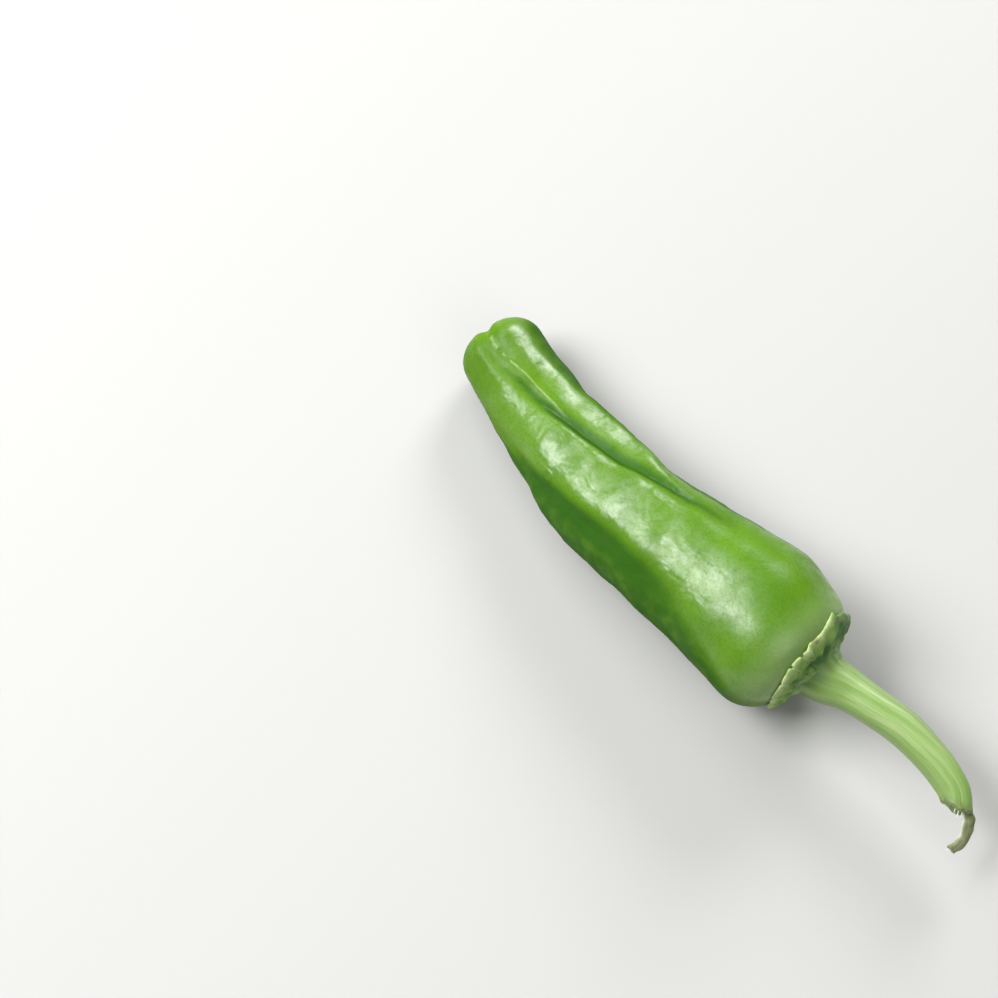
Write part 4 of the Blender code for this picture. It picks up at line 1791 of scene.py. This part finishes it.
@dataclass(frozen=True)
class FibrousStalk:
    """The stem's skin: pale green with stripes along it, painted shade at its foot by the calyx, olive and
    brown where it is torn.
    """

    pale: Colour = (0.24, 0.34, 0.115, 1.0)
    green: Colour = (0.14, 0.26, 0.04, 1.0)
    base: Colour = (0.165, 0.285, 0.05, 1.0)
    # Dark green for the painted shade in the recess where the stem meets the calyx.
    painted_foot_shade: Colour = (0.06, 0.14, 0.03, 1.0)
    torn: Colour = (0.13, 0.18, 0.05, 1.0)
    bark: Colour = (0.10, 0.11, 0.04, 1.0)
    brown: Colour = (0.08, 0.085, 0.035, 1.0)
    pith: Colour = (0.80, 0.82, 0.66, 1.0)
    roughness: float = 0.5
    coat: float = 0.4
    coat_roughness: float = 0.35
    stripes: Mottle = Mottle(0.9, 3.0, 0.35, 0.65)
    threads: Mottle = Mottle(5.0, 3.0, 0.4, 0.7)
    thread_share: float = 0.4
    thread_bump: float = 0.4
    thread_depth: float = 0.0001
    furrows: Mottle = Mottle(2.6, 4.0, 0.45, 0.6)
    furrow_share: float = 0.45
    base_end: float = 0.28
    base_share: float = 0.85
    foot_out: tuple[float, float] = (0.02, 0.16)
    foot_share: float = 0.7
    greener_in: tuple[float, float] = (0.6, 0.95)
    greener_share: float = 0.35
    olive_share: float = 0.8
    blotches: Mottle = Mottle(1100.0, 4.0, 0.45, 0.6)
    torn_share: float = 0.6

    def dress(self, effects: Effects) -> bpy.types.Material:
        """Builds the stalk: pale and green stripes along its grain, under a thin coat.

        Args:
            effects: the effects that the materials share.

        Returns:
            The material.
        """
        material, tree, shader = new_material("fibrous_stem_skin")
        place = tree.place()
        grain = tree.mask("grain", vector=True)
        along = tree.mask("along")
        stripes = self.stripes.laid(tree, effects, grain)
        threads = self.threads.laid(tree, effects, grain)
        furrows = self.furrows.laid(tree, effects, grain)
        colour = tree.mix(stripes, self.pale, self.green)
        colour = tree.mix(tree.times(furrows, self.furrow_share), colour, self.green)
        colour = tree.mix(tree.times(threads, self.thread_share), colour, self.pale)
        colour = tree.mix(tree.between(along, 0.0, self.base_end, self.base_share, 0.0), colour, self.base)
        # Painted shade: dark streaks at the stem's foot, next to the calyx.
        streaked = tree.times(stripes, tree.between(along, *self.foot_out, self.foot_share, 0.0))
        colour = tree.mix(streaked, colour, self.painted_foot_shade)
        greener = tree.between(along, *self.greener_in, 0.0, self.greener_share)
        colour = tree.mix(greener, colour, self.green)
        olive = tree.mix(tree.times(furrows, self.olive_share), self.bark, self.torn)
        colour = tree.mix(tree.mask("strip"), colour, olive)
        colour = tree.mix(tree.mask("strip_edge"), colour, self.pith)
        torn = tree.mix(self.blotches.laid(tree, effects, place), self.torn, self.brown)
        colour = tree.mix(tree.times(tree.mask("torn"), self.torn_share), colour, torn)
        raised = {"Strength": self.thread_bump, "Distance": self.thread_depth, "Height": threads}
        finish = {
            "Base Color": tree.mix(tree.mask("pith"), colour, self.pith),
            "Roughness": self.roughness,
            "Normal": tree.add("ShaderNodeBump", raised).outputs[0],
            "Coat Weight": self.coat,
            "Coat Roughness": self.coat_roughness,
        }
        tree.feed(shader, finish)
        return material


@dataclass(frozen=True)
class PaleFloor:
    """The plain pale floor that the pepper lies on."""

    colour: Colour = (0.4, 0.4, 0.39, 1.0)
    roughness: float = 0.8
    half_size: float = 3.0

    def build(self) -> bpy.types.Object:
        """Makes the floor, level with the surface that the pepper rests on.

        Returns:
            The floor.
        """
        material, tree, shader = new_material("pale_floor")
        tree.feed(shader, {"Base Color": self.colour, "Roughness": self.roughness})
        reach = self.half_size
        corners = [(-reach, -reach, 0), (reach, -reach, 0), (reach, reach, 0), (-reach, reach, 0)]
        mesh = bpy.data.meshes.new("floor")
        mesh.from_pydata(corners, [], [(0, 1, 2, 3)])
        mesh.materials.append(material)
        floor = bpy.data.objects.new("floor", mesh)
        bpy.context.scene.collection.objects.link(floor)
        return floor


@dataclass(frozen=True)
class Softbox:
    """A soft light: the direction it comes from, its distance, its width and height, and its power."""

    name: str
    towards: Vector3
    distance: float
    width: float
    height: float
    watts: float

    def build(self) -> bpy.types.Object:
        """Makes the light, facing the pepper.

        Returns:
            The light.
        """
        light = bpy.data.lights.new(self.name, "AREA")
        light.shape = "RECTANGLE"
        light.size = self.width
        light.size_y = self.height
        light.energy = self.watts
        lamp = bpy.data.objects.new(self.name, light)
        towards = Vector(self.towards).normalized()
        lamp.location = towards * self.distance
        lamp.rotation_euler = towards.to_track_quat("Z", "Y").to_euler()
        bpy.context.scene.collection.objects.link(lamp)
        return lamp


@dataclass
class Studio:
    """The floor, the soft lights, the pale surround and the camera, whose place is in millimetres."""

    azimuth: float = 49.15
    elevation: float = 68.0
    place: Vector3 = (91.075, -122.147, 410.851)
    lens: float = 100.0
    clip_start: float = 0.01
    surround: Colour = (1.0, 1.0, 1.0, 1.0)
    surround_strength: float = 0.12
    lights: tuple[Softbox, ...] = (
        Softbox("key_softbox", (-0.484, -0.4275, 0.747), 0.75, 0.42, 0.42, 9.0),
        Softbox("tip_softbox", (-0.62, 0.12, 0.75), 0.8, 0.4, 0.4, 2.2),
        Softbox("back_softbox", (-0.38, 0.76, 0.5), 0.75, 0.28, 0.28, 5.2),
        Softbox("stem_softbox", (0.7, -0.15, 0.7), 0.8, 0.6, 0.6, 1.8),
    )

    def camera(self) -> bpy.types.Object:
        """Makes the camera: its axes are worked out from its azimuth and elevation.

        Returns:
            The camera.
        """
        turn, rise = math.radians(self.azimuth), math.radians(self.elevation)
        back = Vector(
            (math.sin(turn) * math.cos(rise), -math.cos(turn) * math.cos(rise), math.sin(rise))
        )
        right = Vector((math.cos(turn), math.sin(turn), 0))
        axes = Matrix((right, back.cross(right), back)).transposed()
        lens = bpy.data.cameras.new("camera")
        lens.lens = self.lens
        lens.clip_start = self.clip_start
        made = bpy.data.objects.new("camera", lens)
        made.matrix_world = Matrix.Translation(Vector(self.place) * MM) @ axes.to_4x4()
        bpy.context.scene.collection.objects.link(made)
        bpy.context.scene.camera = made
        return made

    def build(self) -> None:
        """Sets up the floor, the lights, the surround and the camera."""
        PaleFloor().build()
        for softbox in self.lights:
            softbox.build()
        world = bpy.data.worlds.new("surround")
        world.use_nodes = True
        background = world.node_tree.nodes["Background"]
        background.inputs["Color"].default_value = self.surround
        background.inputs["Strength"].default_value = self.surround_strength
        bpy.context.scene.world = world
        bpy.context.scene.view_settings.view_transform = "Standard"
        self.camera()


def main() -> None:
    """Builds the studio and the pepper's pieces in order."""
    logging.basicConfig(level=logging.INFO, format="%(name)s: %(message)s")
    Studio().build()
    effects = Effects()
    pod = Pod()
    pod.build(WaxySkin().dress(effects))
    Calyx(pod).build(SepalLeaf().dress(effects))
    Stem().build(FibrousStalk().dress(effects))


if __name__ == "__main__":
    main()
